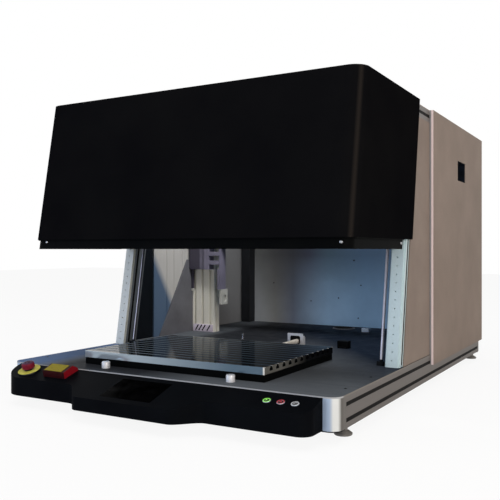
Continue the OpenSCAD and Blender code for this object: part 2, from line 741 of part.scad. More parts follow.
// ---- console ----
// front edge of the console in plan, from the middle towards +x, drawn inset
function front_y(x, inset) = inset - console_d - (bulge_d - console_d) *
  (1 - soft(min(1, max(0, (x + inset - bulge_flat) / (bulge_end - bulge_flat)))));
bend_n = 14;
function bend(inset) = [for (i = [0:bend_n])
  let (x = bulge_flat - inset + i * (bulge_end - bulge_flat) / bend_n) [x, front_y(x, inset)]];
function mirrored(pts) = [for (i = [len(pts) - 1:-1:0]) [-pts[i][0], pts[i][1]]];
module console_plan(inset, back) {
  w = console_w / 2 - inset;
  f = inset - console_d;
  half = concat(bend(inset), [[w, f], [w, back]]);
  difference() {
    polygon(concat(half, mirrored(half)));
    translate([-w, f]) round_off(console_r_left - inset);
    translate([w, f]) mirror([1, 0]) round_off(console_r - inset);
  }
}
module console_form(inset, back, z1) intersection() {
  translate([0, -console_gap, z1]) linear_extrude(80) console_plan(inset, back);
  translate([0, -console_gap, console_z]) rotate([slope, 0, 0])
    translate([-500, -200, -120 - inset]) cube([1000, 260, 120]);
}
module ring_places() for (i = [-1:1]) on_slope(button_x + i * button_pitch, wing_mid) children();
lamp_x = 94 - estop_x;
lamp_s = 25;
screen_s = 15 + screen_d / 2;
module console() on_feet() color("#0e1012") difference() {
  console_form(0, 0, rail_z);
  console_form(console_t, 1, rail_z + console_t);
  ring_places() translate([0, 0, -10]) cylinder(d = ring_d - 1.5, h = 12);
  on_slope(-estop_x, estop_s) translate([0, 0, -10]) cylinder(d = 22.6, h = 12);
  on_slope(0, screen_s) translate([-screen_w / 2, -screen_d / 2, -1.2])
    cube([screen_w, screen_d, 5]);
  on_slope(0, screen_s) translate([-screen_w / 2 + 6, -screen_d / 2 + 6, -8])
    cube([screen_w - 12, screen_d - 12, 10]);
}

module touch_screen() on_feet() color("#050507") on_slope(0, screen_s) {
  translate([seat - screen_w / 2, seat - screen_d / 2, -1.2])
    cube([screen_w - 2 * seat, screen_d - 2 * seat, 1.2]);
  translate([6.5 - screen_w / 2, 6.5 - screen_d / 2, -7])
    cube([screen_w - 13, screen_d - 13, 6]);
}

module estop_plate() on_feet() color("#d8c63a") on_slope(-estop_x, estop_s)
  translate([0, 0, estop_rise]) rotate_extrude() polygon([[11.4, 0], [estop_plate_d / 2, 0],
    [estop_plate_d / 2, estop_disc_t - 0.7], [estop_plate_d / 2 - 1, estop_disc_t],
    [11.4, estop_disc_t]]);

module estop_body() on_feet() color("#1b1b1d") on_slope(-estop_x, estop_s)
  rotate_extrude() polygon([[5.6, -28], [11, -28], [11, 0], [estop_plate_d / 2 - 2, 0],
    [estop_plate_d / 2 - 3, estop_rise], [11, estop_rise], [11, estop_top - 0.4],
    [10.2, estop_top], [5.6, estop_top]]);

module estop_stem() on_feet() color("#8d2530") on_slope(-estop_x, estop_s)
  translate([0, 0, -22]) cylinder(d = 10.2, h = 22 + estop_lift + 3, $fn = 48);

module estop_head() on_feet() color("#a3202c") on_slope(-estop_x, estop_s) {
  r = estop_head_d / 2;
  translate([0, 0, estop_lift]) difference() {
    rotate_extrude() polygon([[5.6, 0], [r - 2, 0], [r, 1.5], [r, estop_head_h - 5],
      [r - 0.8, estop_head_h - 3], [r - 3, estop_head_h - 1.2], [r - 7, estop_head_h - 0.3],
      [0, estop_head_h], [0, 3.5], [5.6, 3.5]]);
    for (a = [0:30:330]) rotate(a) translate([r + 1.2, 0, 1])
      cylinder(d = 3.4, h = estop_head_h - 5, $fn = 16);
  }
}

module emission_lamp() on_feet() color("#7a0f14") on_slope(lamp_x, lamp_s)
  translate([-lamp_l / 2, 0, 0]) rotate([90, 0, 90]) linear_extrude(lamp_l)
    polygon([[-22, 0], [-21, 15], [9, 17.5], [20.5, 8], [22, 5], [22, 0]]);

module button_rings() on_feet() color("silver") ring_places() rotate_extrude()
  polygon([[cap_d / 2 + 0.35, -7], [ring_d / 2 - 1, -7], [ring_d / 2 - 1, 0], [ring_d / 2, 0],
    [ring_d / 2, ring_t - 0.4], [ring_d / 2 - 0.6, ring_t], [cap_d / 2 + 0.35, ring_t]]);

module button_cap() {
  top = push + 0.3;
  rotate_extrude() polygon([[0, -6], [cap_d / 2, -6], [cap_d / 2, top - 0.5],
    [cap_d / 2 - 0.5, top], [0, top]]);
}
module start_button() on_feet() color("#2e5a20")
  on_slope(button_x - button_pitch, wing_mid) button_cap();
module stop_button() on_feet() color("#5a1a1e") on_slope(button_x, wing_mid) button_cap();
module reset_button() on_feet() color("#5a5a5c")
  on_slope(button_x + button_pitch, wing_mid) button_cap();

// ---- fittings on the deck ----
module deck_port() on_feet() color("#8f979f") translate([port_x, port_y, 0]) rotate_extrude()
  polygon([[port_d / 2 - 5, -deck_t - 12], [port_d / 2 - 4.2, -deck_t - 12],
    [port_d / 2 - 4.2, 0], [port_d / 2, 0], [port_d / 2, 2], [port_d / 2 - 1, 3],
    [port_d / 2 - 5, 3]]);

// upright plate on a foot, with a boxed recess behind it for the plug
plate_w = 48;
plate_h = 31;
recess = [34, 15, 17];
plug_reach = 24;            // how far the plug stands in front of the plate
module at_socket() on_feet() translate([60, cover_y - 36, 0]) children();
module socket_plate() color("#b4b8bd") at_socket() difference() {
  union() {
    translate([-plate_w / 2, 0, 0]) cube([plate_w, 3, plate_h]);
    translate([-plate_w / 2, 0, 0]) cube([plate_w, recess[1] + 3, 2]);
    translate([-17.5, 0, 5.5]) cube([recess[0] + 3, recess[1] + 2, recess[2] + 3]);
  }
  translate([-16, -eps, 7]) cube(recess + [0, eps, 0]);
}

module socket_plug() color("#cfc4a4") at_socket() translate([3, -plug_reach, 15.5])
  rotate([-90, 0, 0]) {
    cylinder(d = 9, h = plug_reach + recess[1] - seat, $fn = 32);
    cylinder(d = 13, h = plug_reach - 4, $fn = 32);
  }

box_w = 30;
box_d = 24;
box_h = 20;
module limit_box() on_feet() color("#101216") translate([186, cover_y - 8, 0]) difference() {
  translate([-box_w / 2, 0, 0]) cube([box_w, box_d, box_h]);
  translate([4 - box_w / 2, -1, 4]) cube([box_w - 8, 4, box_h - 8]);
}

gland = [24, 16, 12];
module gland_block() on_feet() color("#9fb6c8") translate([104, wall_y - 130, 0]) {
  translate([-gland[0] / 2, 0, 0]) cube(gland);
  translate([0, -3, gland[2] / 2 + 0.5]) rotate([-90, 0, 0]) cylinder(d = 9, h = 4);
}

levelling_feet();
base_rails();
base_beams();
base_corners();
deck_plate();
front_posts();
guide_rails();
uprights();
wall_posts();
top_rails();
top_beams();
side_panels();
rear_cover();
roof_panel();
upper_front_panel();
back_wall();
cable_duct();
rear_panel();
hand_grips();
exhaust_spigot();
fan_frame();
fan_wheel();
mains_inlet();
laser_source();
table_base();
table_top();
door_buffers();
z_columns();
gussets();
z_motors();
left_screw();
right_screw();
z_carriages();
cross_beam();
laser_arm();
scan_head();
lens();
strut_rods();
strut_tubes();
door_hood();
door_frame();
lip_bolts();
carriage_plates();
guide_blocks();
console();
touch_screen();
estop_plate();
estop_body();
estop_stem();
estop_head();
emission_lamp();
button_rings();
start_button();
stop_button();
reset_button();
deck_port();
socket_plate();
socket_plug();
limit_box();
gland_block();
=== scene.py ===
import math

import bmesh
import bpy
import numpy as np
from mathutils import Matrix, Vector


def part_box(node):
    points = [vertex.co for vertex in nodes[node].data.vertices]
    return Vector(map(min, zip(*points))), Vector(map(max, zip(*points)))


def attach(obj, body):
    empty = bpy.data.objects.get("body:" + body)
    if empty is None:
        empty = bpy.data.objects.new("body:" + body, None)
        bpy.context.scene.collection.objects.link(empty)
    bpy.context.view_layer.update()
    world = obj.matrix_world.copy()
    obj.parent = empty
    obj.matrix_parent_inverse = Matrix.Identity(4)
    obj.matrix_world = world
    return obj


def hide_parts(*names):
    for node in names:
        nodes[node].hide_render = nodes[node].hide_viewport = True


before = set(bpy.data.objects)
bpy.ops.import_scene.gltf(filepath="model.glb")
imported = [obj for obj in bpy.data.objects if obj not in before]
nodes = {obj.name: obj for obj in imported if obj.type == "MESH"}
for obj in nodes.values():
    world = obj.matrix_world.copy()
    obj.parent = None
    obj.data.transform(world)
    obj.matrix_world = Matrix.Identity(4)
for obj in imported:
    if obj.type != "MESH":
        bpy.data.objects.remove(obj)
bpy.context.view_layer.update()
print("frame loaded,", len(nodes), "nodes")

# Everything below is written in millimetres from the deck: x to the right, y from its front edge
# to the rear, z up from its top face. toWorld turns that into metres on the floor.
deckLow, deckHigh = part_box("deck_plate")
deckFront = deckLow.y
deckTop = deckHigh.z
machine = {
    "lean": math.radians(10),  # of the posts and of the door's travel
    "postFoot": 370,  # from the deck's front edge
    "slope": math.radians(17),  # of the console's top
    "consoleRear": (-0.3, -2.5),  # y and z of the rear edge of the console's top
    "consoleDepth": 63,  # of its top, in plan
    "panelRear": 1193,  # rear face of the rear panel
    "wallFront": 1120,  # front face of the chamber's back wall
}


# Deck millimetres to metres: shift by the deck's front edge and top face.
def toWorld(points):
    p = np.asarray(points, float) / 1000
    return p + np.array([0, deckFront, deckTop])


# (x, p, s): p behind the post fronts, s up the lean. Turned about x by the lean.
def alongPost(points):
    x, p, s = np.moveaxis(np.asarray(points, float), -1, 0)
    a = machine["lean"]
    y = machine["postFoot"] + p * np.cos(a) + s * np.sin(a)
    return np.stack([x, y, s * np.cos(a) - p * np.sin(a)], -1)


# (x, s, h): s down the console's slope, h square to it. Turned about x by the slope.
def onConsole(points):
    x, s, h = np.moveaxis(np.asarray(points, float), -1, 0)
    a = machine["slope"]
    y0, z0 = machine["consoleRear"]
    return np.stack(
        [x, y0 - s * np.cos(a) - h * np.sin(a), z0 - s * np.sin(a) + h * np.cos(a)], -1
    )


# sRGB hex to linear: ((c + 0.055) / 1.055) ^ 2.4, or c / 12.92 near black.
def linearColor(hexColor, alpha=1.0):
    c = [int(hexColor[i : i + 2], 16) / 255 for i in (1, 3, 5)]
    return [((v + 0.055) / 1.055) ** 2.4 if v > 0.04045 else v / 12.92 for v in c] + [alpha]


# Feeds a shader node's inputs: a socket is linked, a hex colour is made linear, and
# anything else is set as it is.
def feed(tree, node, inputs):
    for name, value in inputs.items():
        if isinstance(value, bpy.types.NodeSocket):
            tree.links.new(value, node.inputs[name])
        else:
            isHex = isinstance(value, str)
            node.inputs[name].default_value = linearColor(value) if isHex else value


# Adds a shader node with its settings and its inputs, which are listed in order or given
# by name or number, and returns its outputs.
def addNode(tree, kind, inputs=(), **settings):
    node = tree.nodes.new("ShaderNode" + kind)
    for name, value in settings.items():
        setattr(node, name, value)
    feed(tree, node, inputs if isinstance(inputs, dict) else dict(enumerate(inputs)))
    return node.outputs


# An empty material with its Principled shader, and the object's own coordinates.
def newFinish(name):
    material = bpy.data.materials.new(name)
    material.use_nodes = True
    tree = material.node_tree
    place = addNode(tree, "TexCoord")["Object"]
    return material, tree, tree.nodes["Principled BSDF"], place


# One colour goes over into another while a value runs from start to end.
def turning(tree, color, other, value, start=0.3, end=0.7):
    amount = addNode(tree, "MapRange", [value, start, end])[0]
    return addNode(tree, "Mix", {0: amount, 6: color, 7: other}, data_type="RGBA")[2]


# Product of ramps: 1 where each value is at the end of its run (value, start, end).
def whereAll(tree, runs):
    ramps = [addNode(tree, "MapRange", list(run))[0] for run in runs]
    amount = ramps[0]
    for other in ramps[1:]:
        amount = addNode(tree, "Math", [amount, other], operation="MULTIPLY")[0]
    return amount


# Wear and relief: roughness goes from rough[0] to rough[1] with one texture, and another is
# the height of a bump, depthMm high at strength 1.
def worn(tree, shader, texture, rough, height, depthMm, strength):
    feed(tree, shader, {
        "Roughness": addNode(tree, "MapRange", [texture, 0.3, 0.7, *rough])[0],
        "Normal": addNode(tree, "Bump", {"Strength": strength, "Height": height,
                                         "Distance": depthMm / 1000})[0],
    })


# A finish's colour: dark to pale with a texture, and zones of others over it. Each zone
# has its own dark and pale and runs (measure, start, end) that hold together. A measure is a
# coordinate, across (its distance from the middle plane), slant (z with parts of across and
# y), or the way that the surface faces.
def zoned(tree, place, texture, look, spread=(0.3, 0.7)):
    tone = addNode(tree, "MapRange", [texture, *spread])[0]
    color = turning(tree, look["dark"], look["pale"], tone, 0, 1)
    if "zones" not in look:
        return color
    faces = addNode(tree, "SeparateXYZ", [addNode(tree, "NewGeometry")["Normal"]])
    x, y, z = addNode(tree, "SeparateXYZ", [place])
    measures = {"x": x, "y": y, "z": z, "facingX": faces[0], "facingY": faces[1],
                "facingZ": faces[2]}
    for name, value in (("across", x), ("sideways", faces[0])):
        measures[name] = addNode(tree, "Math", [value], operation="ABSOLUTE")[0]
    if "slant" in look:
        part = addNode(tree, "Math", [measures["across"], look["slant"][0], z],
                       operation="MULTIPLY_ADD")[0]
        measures["slant"] = addNode(tree, "Math", [y, look["slant"][1], part],
                                    operation="MULTIPLY_ADD")[0]
    for dark, pale, *runs in look["zones"]:
        own = turning(tree, dark, pale, tone, 0, 1)
        amount = whereAll(tree, [(measures[m], start, end) for m, start, end in runs])
        color = turning(tree, color, own, amount, 0, 1)
    return color


print("finishes")
finishes = {}


# A family's finishes: each row is the material's name and then the values of the words. The
# words at the end may be left out.
def makeFinishes(make, words, rows):
    for finish, (name, *values) in rows.items():
        finishes[finish] = make(name, dict(zip(words.split(), values)))


# Powder-coated steel: baked paint, so a fine orange peel, a soft gloss, and faint
# cloudiness over a hand's width.
def powderCoat(name, look):
    material, tree, shader, place = newFinish(name)
    peel = addNode(tree, "TexNoise", {"Vector": place, "Scale": 1000 / look["peelMm"],
                                      "Detail": 2})["Fac"]
    cloud = addNode(tree, "TexNoise", {"Vector": place, "Scale": 1000 / look["cloudMm"],
                                       "Detail": 3, "Roughness": 0.55})["Fac"]
    rough = look["roughness"]
    worn(tree, shader, peel, (rough - 0.04, rough + 0.05), peel, look["depthMm"], 0.6)
    feed(tree, shader, {"Base Color": zoned(tree, place, cloud, look),
                        "Specular IOR Level": look["specular"]})
    return material


# Zones: a painted highlight as a paler line round the door's upright corners, the carriages'
# rubbed outer side and bare tab, the cover's bare inside and folded edge, and painted shade on the
# side panels' inner faces, near black.
coat = "powder-coated steel, "
tabTop = deckTop + 0.142
coverLow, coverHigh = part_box("rear_cover")
fold = coverLow.y + 0.0003
makeFinishes(powderCoat, "dark pale roughness specular peelMm depthMm cloudMm zones", {
    "panelGrey": (coat + "warm grey", "#7d7168", "#8a7e75", 0.5, 0.03, 1.6, 0.05, 140),
    "doorBlack": (coat + "satin black", "#0b0b0d", "#0f0f10", 0.4, 0.0, 1.4, 0.015, 180, [
        # painted highlight round the door's upright corners
        ("#211e1c", "#211e1c", ("sideways", 0.6, 0.75), ("sideways", 0.9, 0.79))]),
    "lipBlack": (coat + "lip", "#050607", "#080909", 0.5, 0.01, 1.4, 0.04, 90),
    "consoleBlack": (coat + "console black", "#08090c", "#0c0e11", 0.4, 0.006, 1.2, 0.03, 120),
    "bracketGrey": (coat + "dark bracket", "#525256", "#606065", 0.48, 0.2, 1.2, 0.04, 70),
    "zincPlate": ("zinc-plated steel, blue passivated", "#c2b8c6", "#d6cedc", 0.42, 0.3, 1.2,
                  0.02, 30),
    "innerPanel": (coat + "inner panel", "#323336", "#3e3f43", 0.5, 0.25, 1.6, 0.05, 120),
    "carriageGrey": (coat + "carriage", "#5c5968", "#6b6878", 0.44, 0.3, 1.2, 0.03, 60, [
        ("#3a3743", "#3a3743", ("across", 0.3675, 0.3678)),
        ("#a9a9a3", "#a9a9a3", ("z", tabTop + 0.0003, tabTop))]),
    "cover": (coat + "cover with bare edge", "#7c7067", "#887b72", 0.52, 0.03, 1.6, 0.05, 167, [
        ("#8b8b8c", "#8b8b8c", ("across", 0.4312, 0.4311),
         ("z", coverHigh.z - 0.0015, coverHigh.z - 0.0018)),
        ("#e2d0cf", "#e2d0cf", ("y", fold, fold - 0.0001), ("across", 0.4275, 0.4277))]),
    "sidePanel": (coat + "lined side panel", "#7a6e66", "#867a71", 0.5, 0.03, 1.6, 0.05, 140, [
        # painted shade: the inner faces are near black
        ("#0d1013", "#13171c", ("across", 0.4203, 0.4202))]),
})


# Extruded, anodised aluminium: die lines along the profile, a satin surface, and a
# slightly paler or darker band here and there.
def anodised(name, look):
    material, tree, shader, place = newFinish(name)
    along = [1000 / look["lineMm"]] * 3
    along["xyz".index(look["along"])] = 1000 / look["runMm"]
    stretched = addNode(tree, "Mapping", {"Vector": place, "Scale": along})[0]
    lines = addNode(tree, "TexNoise", {"Vector": stretched, "Scale": 1.0, "Detail": 3,
                                       "Roughness": 0.65})["Fac"]
    rough = look["roughness"]
    worn(tree, shader, lines, (rough - 0.06, rough + 0.06), lines, look["depthMm"], 0.5)
    feed(tree, shader, {"Base Color": zoned(tree, place, lines, look, (0.25, 0.75)),
                        "Metallic": look["metallic"]})
    return material


# Zones: painted blue light on the right post and painted shade on the posts' inner faces, the wall
# posts are shaded below a slant, and painted light on the corners by the way they face: a painted
# blue light in front, a painted highlight round the curve and painted shade beside.
drawn = "extruded anodised aluminium, "
shadeTop = deckTop + 1.6 * deckFront + 0.163
makeFinishes(anodised, "dark pale roughness metallic along lineMm runMm depthMm zones slant", {
    "railAluminium": (drawn + "base rails", "#5a5653", "#6b6764", 0.48, 0.3, "y", 1.1, 400, 0.03),
    "beamAluminium": (drawn + "cross beams", "#76726d", "#8b8782", 0.46, 0.3, "x", 1.1, 400, 0.03),
    "columnAluminium": (drawn + "columns", "#dad7ca", "#efece0", 0.44, 0.15, "z", 1.0, 300, 0.03),
    "castAluminium": ("cast aluminium, socket plate", "#bcbec2", "#d2d3d5", 0.4, 0.25, "z", 1.2,
                      6, 0.02),
    "brightAluminium": ("brushed aluminium", "#a9b4c0", "#c8d2dc", 0.3, 0.7, "x", 0.8, 30, 0.02),
    # painted light: bluer on the right post, painted shade on the inner faces
    "postAluminium": (drawn + "posts", "#abaca4", "#b8b9b0", 0.42, 0.15, "z", 1.0, 300, 0.03, [
        ("#b5c7cb", "#c2d6da", ("x", -0.01, 0.01)),
        ("#525659", "#585d60", ("across", 0.3856, 0.3854))]),
    "wallPost": (drawn + "wall posts", "#a8a6a2", "#c0beba", 0.44, 0.15, "z", 1.0, 333, 0.03, [
        ("#4c6078", "#4c6078", ("slant", shadeTop + 0.025, shadeTop - 0.025))], (-2.29, 1.6)),
    # painted light by the way the surface faces: blue light in front, a highlight round the curve,
    # shade beside
    "cornerAluminium": ("cast aluminium, vapour-blasted corners", "#9badc4", "#9badc4", 0.42,
                        0.2, "z", 1.2, 1.2, 0.02, [
                            ("#d2d5d3", "#d2d5d3", ("facingY", -0.96, -0.86)),
                            ("#5a5753", "#5a5753", ("facingY", -0.58, -0.3))]),
})


# Moulded plastic or rubber: fine spark-eroded grain from the tool, even colour, soft gloss.
def moulded(name, look):
    material, tree, shader, place = newFinish(name)
    grain = addNode(tree, "TexVoronoi", {"Vector": place, "Scale": 1000 / look["grainMm"],
                                         "Smoothness": 0.6}, feature="SMOOTH_F1")["Distance"]
    cloud = addNode(tree, "TexNoise", {"Vector": place, "Scale": 1000 / look["toneMm"],
                                       "Detail": 2})["Fac"]
    rough = look["roughness"]
    worn(tree, shader, cloud, (rough - 0.03, rough + 0.04), grain, look["depthMm"], 0.4)
    feed(tree, shader, {"Base Color": zoned(tree, place, cloud, look),
                        "Specular IOR Level": look["specular"]})
    return material


# Zone: a painted dark purple reflection on the emergency stop's head where it looks up.
makeFinishes(moulded, "dark pale roughness specular grainMm depthMm toneMm zones", {
    "blackPlastic": ("moulded ABS, black", "#101114", "#17191d", 0.45, 0.35, 0.9, 0.03, 25),
    "navyPlastic": ("moulded ABS, blue-black grip pocket", "#0a0d13", "#141b26", 0.4, 0.1, 0.9,
                    0.03, 25),
    "beigePlastic": ("moulded nylon, natural", "#b9b2a6", "#cfc9c0", 0.4, 0.3, 0.8, 0.02, 12),
    "redPlastic": ("moulded polycarbonate, signal red", "#5d1726", "#7a1f2e", 0.4, 0.05, 0.7,
                   # painted reflection where the head looks up
                   0.02, 9, [("#4a2a40", "#4a2a40", ("facingZ", 0.5, 0.85))]),
    "yellowPlastic": ("moulded ABS, signal yellow", "#ada746", "#c2bc58", 0.45, 0.04, 0.7, 0.02,
                      14),
    "lampYellow": ("printed polyester, lamp plate", "#7a6e10", "#8c7f18", 0.4, 0.05, 0.9, 0.01, 5),
    "slotBlack": ("extruded PVC, slot covers", "#0b0a0a", "#141312", 0.6, 0.05, 1.0, 0.03, 30),
    "footRubber": ("moulded rubber, foot pads", "#656461", "#82807c", 0.62, 0.2, 1.1, 0.06, 16),
    "gasketRubber": ("extruded rubber, gasket", "#0a0a0a", "#151515", 0.7, 0.2, 0.8, 0.04, 10),
    "capBlack": ("moulded ABS, button caps", "#131416", "#1d1f22", 0.35, 0.5, 0.6, 0.01, 6),
})


# Turned or ground steel: fine rings left by the tool, bright, with a faint smoky tone.
def groundSteel(name, look):
    material, tree, shader, place = newFinish(name)
    tone = addNode(tree, "TexNoise", {"Vector": place, "Scale": 1000 / look["toneMm"],
                                      "Detail": 4, "Roughness": 0.6})["Fac"]
    cut = addNode(tree, "TexWave", {"Vector": place, "Scale": 50 / look["cutMm"],
                                    "Distortion": 1.5, "Detail": 1},
                  wave_type="BANDS", bands_direction="Z")["Fac"]
    rough = look["roughness"]
    worn(tree, shader, tone, (rough - 0.05, rough + 0.08), cut, 0.02, 0.35)
    feed(tree, shader, {"Base Color": turning(tree, look["dark"], look["pale"], tone),
                        "Metallic": 1.0})
    return material


makeFinishes(groundSteel, "dark pale roughness toneMm cutMm", {
    "steel": ("turned steel", "#b9bbc0", "#e2e3e6", 0.24, 10, 0.6),
    "screwSteel": ("zinc-plated screws", "#8c9096", "#b4b7bb", 0.32, 4, 0.5),
    "darkScrew": ("blackened screws", "#1a1b1e", "#2b2c30", 0.4, 4, 0.5),
    "motorSteel": ("enamelled motor housing", "#1c1d20", "#2b2d31", 0.45, 18, 0.6),
})


# A tinted polycarbonate lens with a lamp behind it: clear gloss over a glow that the
# mould's diffusing grain makes uneven.
def litLens(name, look):
    material, tree, shader, place = newFinish(name)
    grain = addNode(tree, "TexNoise", {"Vector": place, "Scale": 1000 / look["grainMm"],
                                       "Detail": 2})["Fac"]
    color = zoned(tree, place, grain, look)
    feed(tree, shader, {
        "Base Color": color,
        "Emission Color": color,
        "Emission Strength": look["glow"],
        "Roughness": look["roughness"],
        "Specular IOR Level": look["specular"],
        "Coat Weight": look["coat"],
        "Coat Roughness": 0.08,
    })
    return material


# Zone: painted light on the emission lamp, brighter on the end that faces +x.
tinted = "tinted polycarbonate, "
makeFinishes(litLens, "dark pale glow roughness grainMm specular coat zones", {
    "greenLens": (tinted + "green", "#6cc43f", "#9be568", 0.55, 0.3, 1.5, 0.5, 0.4),
    "redLens": (tinted + "red", "#962a33", "#b8404a", 0.3, 0.3, 1.5, 0.5, 0.4),
    "whiteLens": (tinted + "white", "#a5a6a8", "#c4c5c6", 0.15, 0.3, 1.5, 0.5, 0.4),
    "lampRed": (tinted + "emission lamp", "#1c0406", "#32080c", 0.05, 0.4, 6, 0.05, 0.0, [
        # painted light on the end that faces +x
        ("#78101a", "#78101a", ("facingX", 0.6, 0.9))]),
})


# Anodised aluminium sheet: rolled lines along x, satin, bright where its front edge is cut, with a
# painted highlight there. Light and shade are painted into its colour: a painted blue reflection
# at the front left corner, a painted shadow under the table, and painted shade behind a slant,
# where y + slant x runs from litTo to shadowFrom.
def deckFinish():
    look = {"pale": "#53575c", "paler": "#656a6f", "dark": "#191f2a", "darker": "#1f2735",
            "left": "#343331", "cut": "#a4a6a8", "edge": "#7f7b76", "lineMm": 1.2,
            "scratchMm": 45, "slant": 1.19, "litTo": 0.6, "shadowFrom": 0.86,
            "blue": "#526a90", "reflectionX": (-0.3, -0.36), "reflectionY": (0.42, 0.36),
            "shade": "#2b2d31", "shadeLeft": (-0.33, -0.27), "shadeRight": (0.1, -0.06)}
    material, tree, shader, place = newFinish("anodised aluminium, deck sheet")
    stretched = addNode(tree, "Mapping", {"Vector": place,
                                          "Scale": (4, 1000 / look["lineMm"], 1)})[0]
    lines = addNode(tree, "TexNoise", {"Vector": stretched, "Scale": 1.0, "Detail": 3})["Fac"]
    x, y, z = addNode(tree, "SeparateXYZ", [place])
    rear = turning(tree, look["dark"], look["darker"], lines)
    rear = turning(tree, rear, look["left"], x, -0.1, -0.3)
    front = turning(tree, look["pale"], look["paler"], lines)
    # painted shadow under the table
    shaded = whereAll(tree, [(x, *look["shadeLeft"]), (x, *look["shadeRight"])])
    front = turning(tree, front, look["shade"], shaded, 0, 1)
    # painted blue reflection at the front left corner
    inBlueReflection = whereAll(tree, [(x, *look["reflectionX"]), (y, *[deckFront + v for v in look["reflectionY"]])])
    front = turning(tree, front, look["blue"], inBlueReflection, 0, 1)
    # painted shade behind the slant, dark towards the rear
    slanted = addNode(tree, "Math", [x, look["slant"], y], operation="MULTIPLY_ADD")[0]
    sheet = turning(tree, front, rear, slanted, deckFront + look["litTo"],
                    deckFront + look["shadowFrom"])
    # the sheet's edge is bare in front and round its corners, with a painted highlight on the
    # front edge, and dull along the rails
    normal = addNode(tree, "NewGeometry")["Normal"]
    edge = turning(tree, look["cut"], look["edge"], y, deckFront + 0.02, deckFront + 0.03)
    scratch = addNode(tree, "TexNoise", {"Vector": place, "Scale": 1000 / look["scratchMm"],
                                         "Detail": 6, "Roughness": 0.7})["Fac"]
    feed(tree, shader, {
        "Base Color": turning(tree, sheet, edge, addNode(tree, "SeparateXYZ", [normal])["Z"],
                              0.6, 0.4),
        "Roughness": addNode(tree, "MapRange", [scratch, 0.35, 0.65, 0.37, 0.52])[0],
        "Metallic": 0.03,
        "Specular IOR Level": 0.004,
        "Normal": addNode(tree, "Bump", {"Strength": 0.4, "Height": lines,
                                         "Distance": 0.00002})[0],
    })
    return material


# Painted steel wall of the chamber: satin paint with faint patches. Light and shade are painted
# into its colour: painted light that makes it paler towards the foot, and painted blue light that
# makes it bluer to the right, with the left end grey.
def backWallFinish():
    look = {"patchMm": 150, "peelMm": 1.8, "shadedTopZ": deckTop + 0.25,
            "x": (-0.372, -0.299, -0.224, -0.155, -0.084, 0.05),
            "top": ("#5b5c5b", "#414143", "#2c2e34", "#2c3140", "#344757", "#2f4862"),
            "foot": ("#a0a3a5", "#82827f", "#646b7b", "#7a8fa6", "#82a0bf", "#7292b2")}
    material, tree, shader, place = newFinish("painted steel, chamber wall")
    patch = addNode(tree, "TexNoise", {"Vector": place, "Scale": 1000 / look["patchMm"],
                                       "Detail": 4, "Roughness": 0.6})["Fac"]
    x, y, z = addNode(tree, "SeparateXYZ", [place])
    # painted light: each colour is paler towards the foot
    across = [turning(tree, top, foot, z, look["shadedTopZ"], deckTop)
              for top, foot in zip(look["top"], look["foot"])]
    paint = across[0]
    # painted blue light, bluer to the right; the left end stays grey
    for start, end, color in zip(look["x"], look["x"][1:], across[1:]):
        paint = turning(tree, paint, color, x, start, end)
    rubbed = turning(tree, "#e4e4e4", "#ffffff", patch)
    peel = addNode(tree, "TexNoise", {"Vector": place, "Scale": 1000 / look["peelMm"],
                                      "Detail": 2})["Fac"]
    feed(tree, shader, {
        "Base Color": addNode(tree, "Mix", {0: 1.0, 6: paint, 7: rubbed}, data_type="RGBA",
                              blend_type="MULTIPLY")[2],
        "Specular IOR Level": 0.3,
    })
    worn(tree, shader, patch, (0.4, 0.52), peel, 0.04, 0.5)
    return material


# Black hard-anodised slotted plate, milled bright where the cutter broke the black skin:
# along its front edge, its front corner, the front part of its ends and the slots' lips.
def tableFinish():
    look = {"black": "#08090a", "blackPale": "#0e0f11", "bright": "#a5b3bc", "dull": "#5c7080",
            "reflectionFadeAt": (-0.1, 0.16), "end": "#5e5e5a", "corner": "#e0e0dc", "lipMm": 0.7,
            "pitchMm": 29, "slotMm": 8, "edgeMm": 1.2, "cornerMm": 4, "endMm": (200, 70)}
    low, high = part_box("table_top")
    material, tree, shader, place = newFinish("hard-anodised aluminium, slotted table")
    stretched = addNode(tree, "Mapping", {"Vector": place, "Scale": (8, 700, 700)})[0]
    mill = addNode(tree, "TexNoise", {"Vector": stretched, "Scale": 1.0, "Detail": 3})["Fac"]
    skin = turning(tree, look["black"], look["blackPale"], mill)
    x, y, z = addNode(tree, "SeparateXYZ", [place])
    # distance from the nearest slot's middle: |((y - middle) / pitch + 0.5) mod 1 - 0.5| pitch
    offset = addNode(tree, "Math", [y, (low.y + high.y) / 2], operation="SUBTRACT")[0]
    fromMiddle = addNode(tree, "Math", [offset, look["pitchMm"] / 2000],
                         operation="PINGPONG")[0]
    lipAt = (look["slotMm"] / 2 + look["lipMm"]) / 1000
    lip = whereAll(tree, [(fromMiddle, lipAt + 0.0003, lipAt),
                          (z, high.z - 0.0012, high.z - 0.0006)])
    front = addNode(tree, "MapRange", [y, low.y + look["edgeMm"] / 1000, low.y + 0.0004])[0]
    bright = addNode(tree, "Math", [lip, front], operation="MAXIMUM")[0]
    # painted reflection: the bright milled metal fades to dull across x
    metal = turning(tree, look["bright"], look["dull"], x, *look["reflectionFadeAt"])
    cornerX = high.x - look["cornerMm"] / 1000
    metal = turning(tree, metal, look["corner"], x, cornerX, cornerX + 0.0005)
    endY = [low.y + v / 1000 for v in look["endMm"]]
    onEnd = whereAll(tree, [(x, high.x - 0.0004, high.x - 0.0002), (y, *endY)])
    skin = turning(tree, skin, look["end"], onEnd, 0, 1)
    feed(tree, shader, {
        "Base Color": turning(tree, skin, metal, bright, 0, 1),
        "Metallic": addNode(tree, "Math", [bright, 0.5], operation="MULTIPLY")[0],
        "Specular IOR Level": 0.045,
    })
    worn(tree, shader, mill, (0.05, 0.11), mill, 0.01, 0.4)
    return material
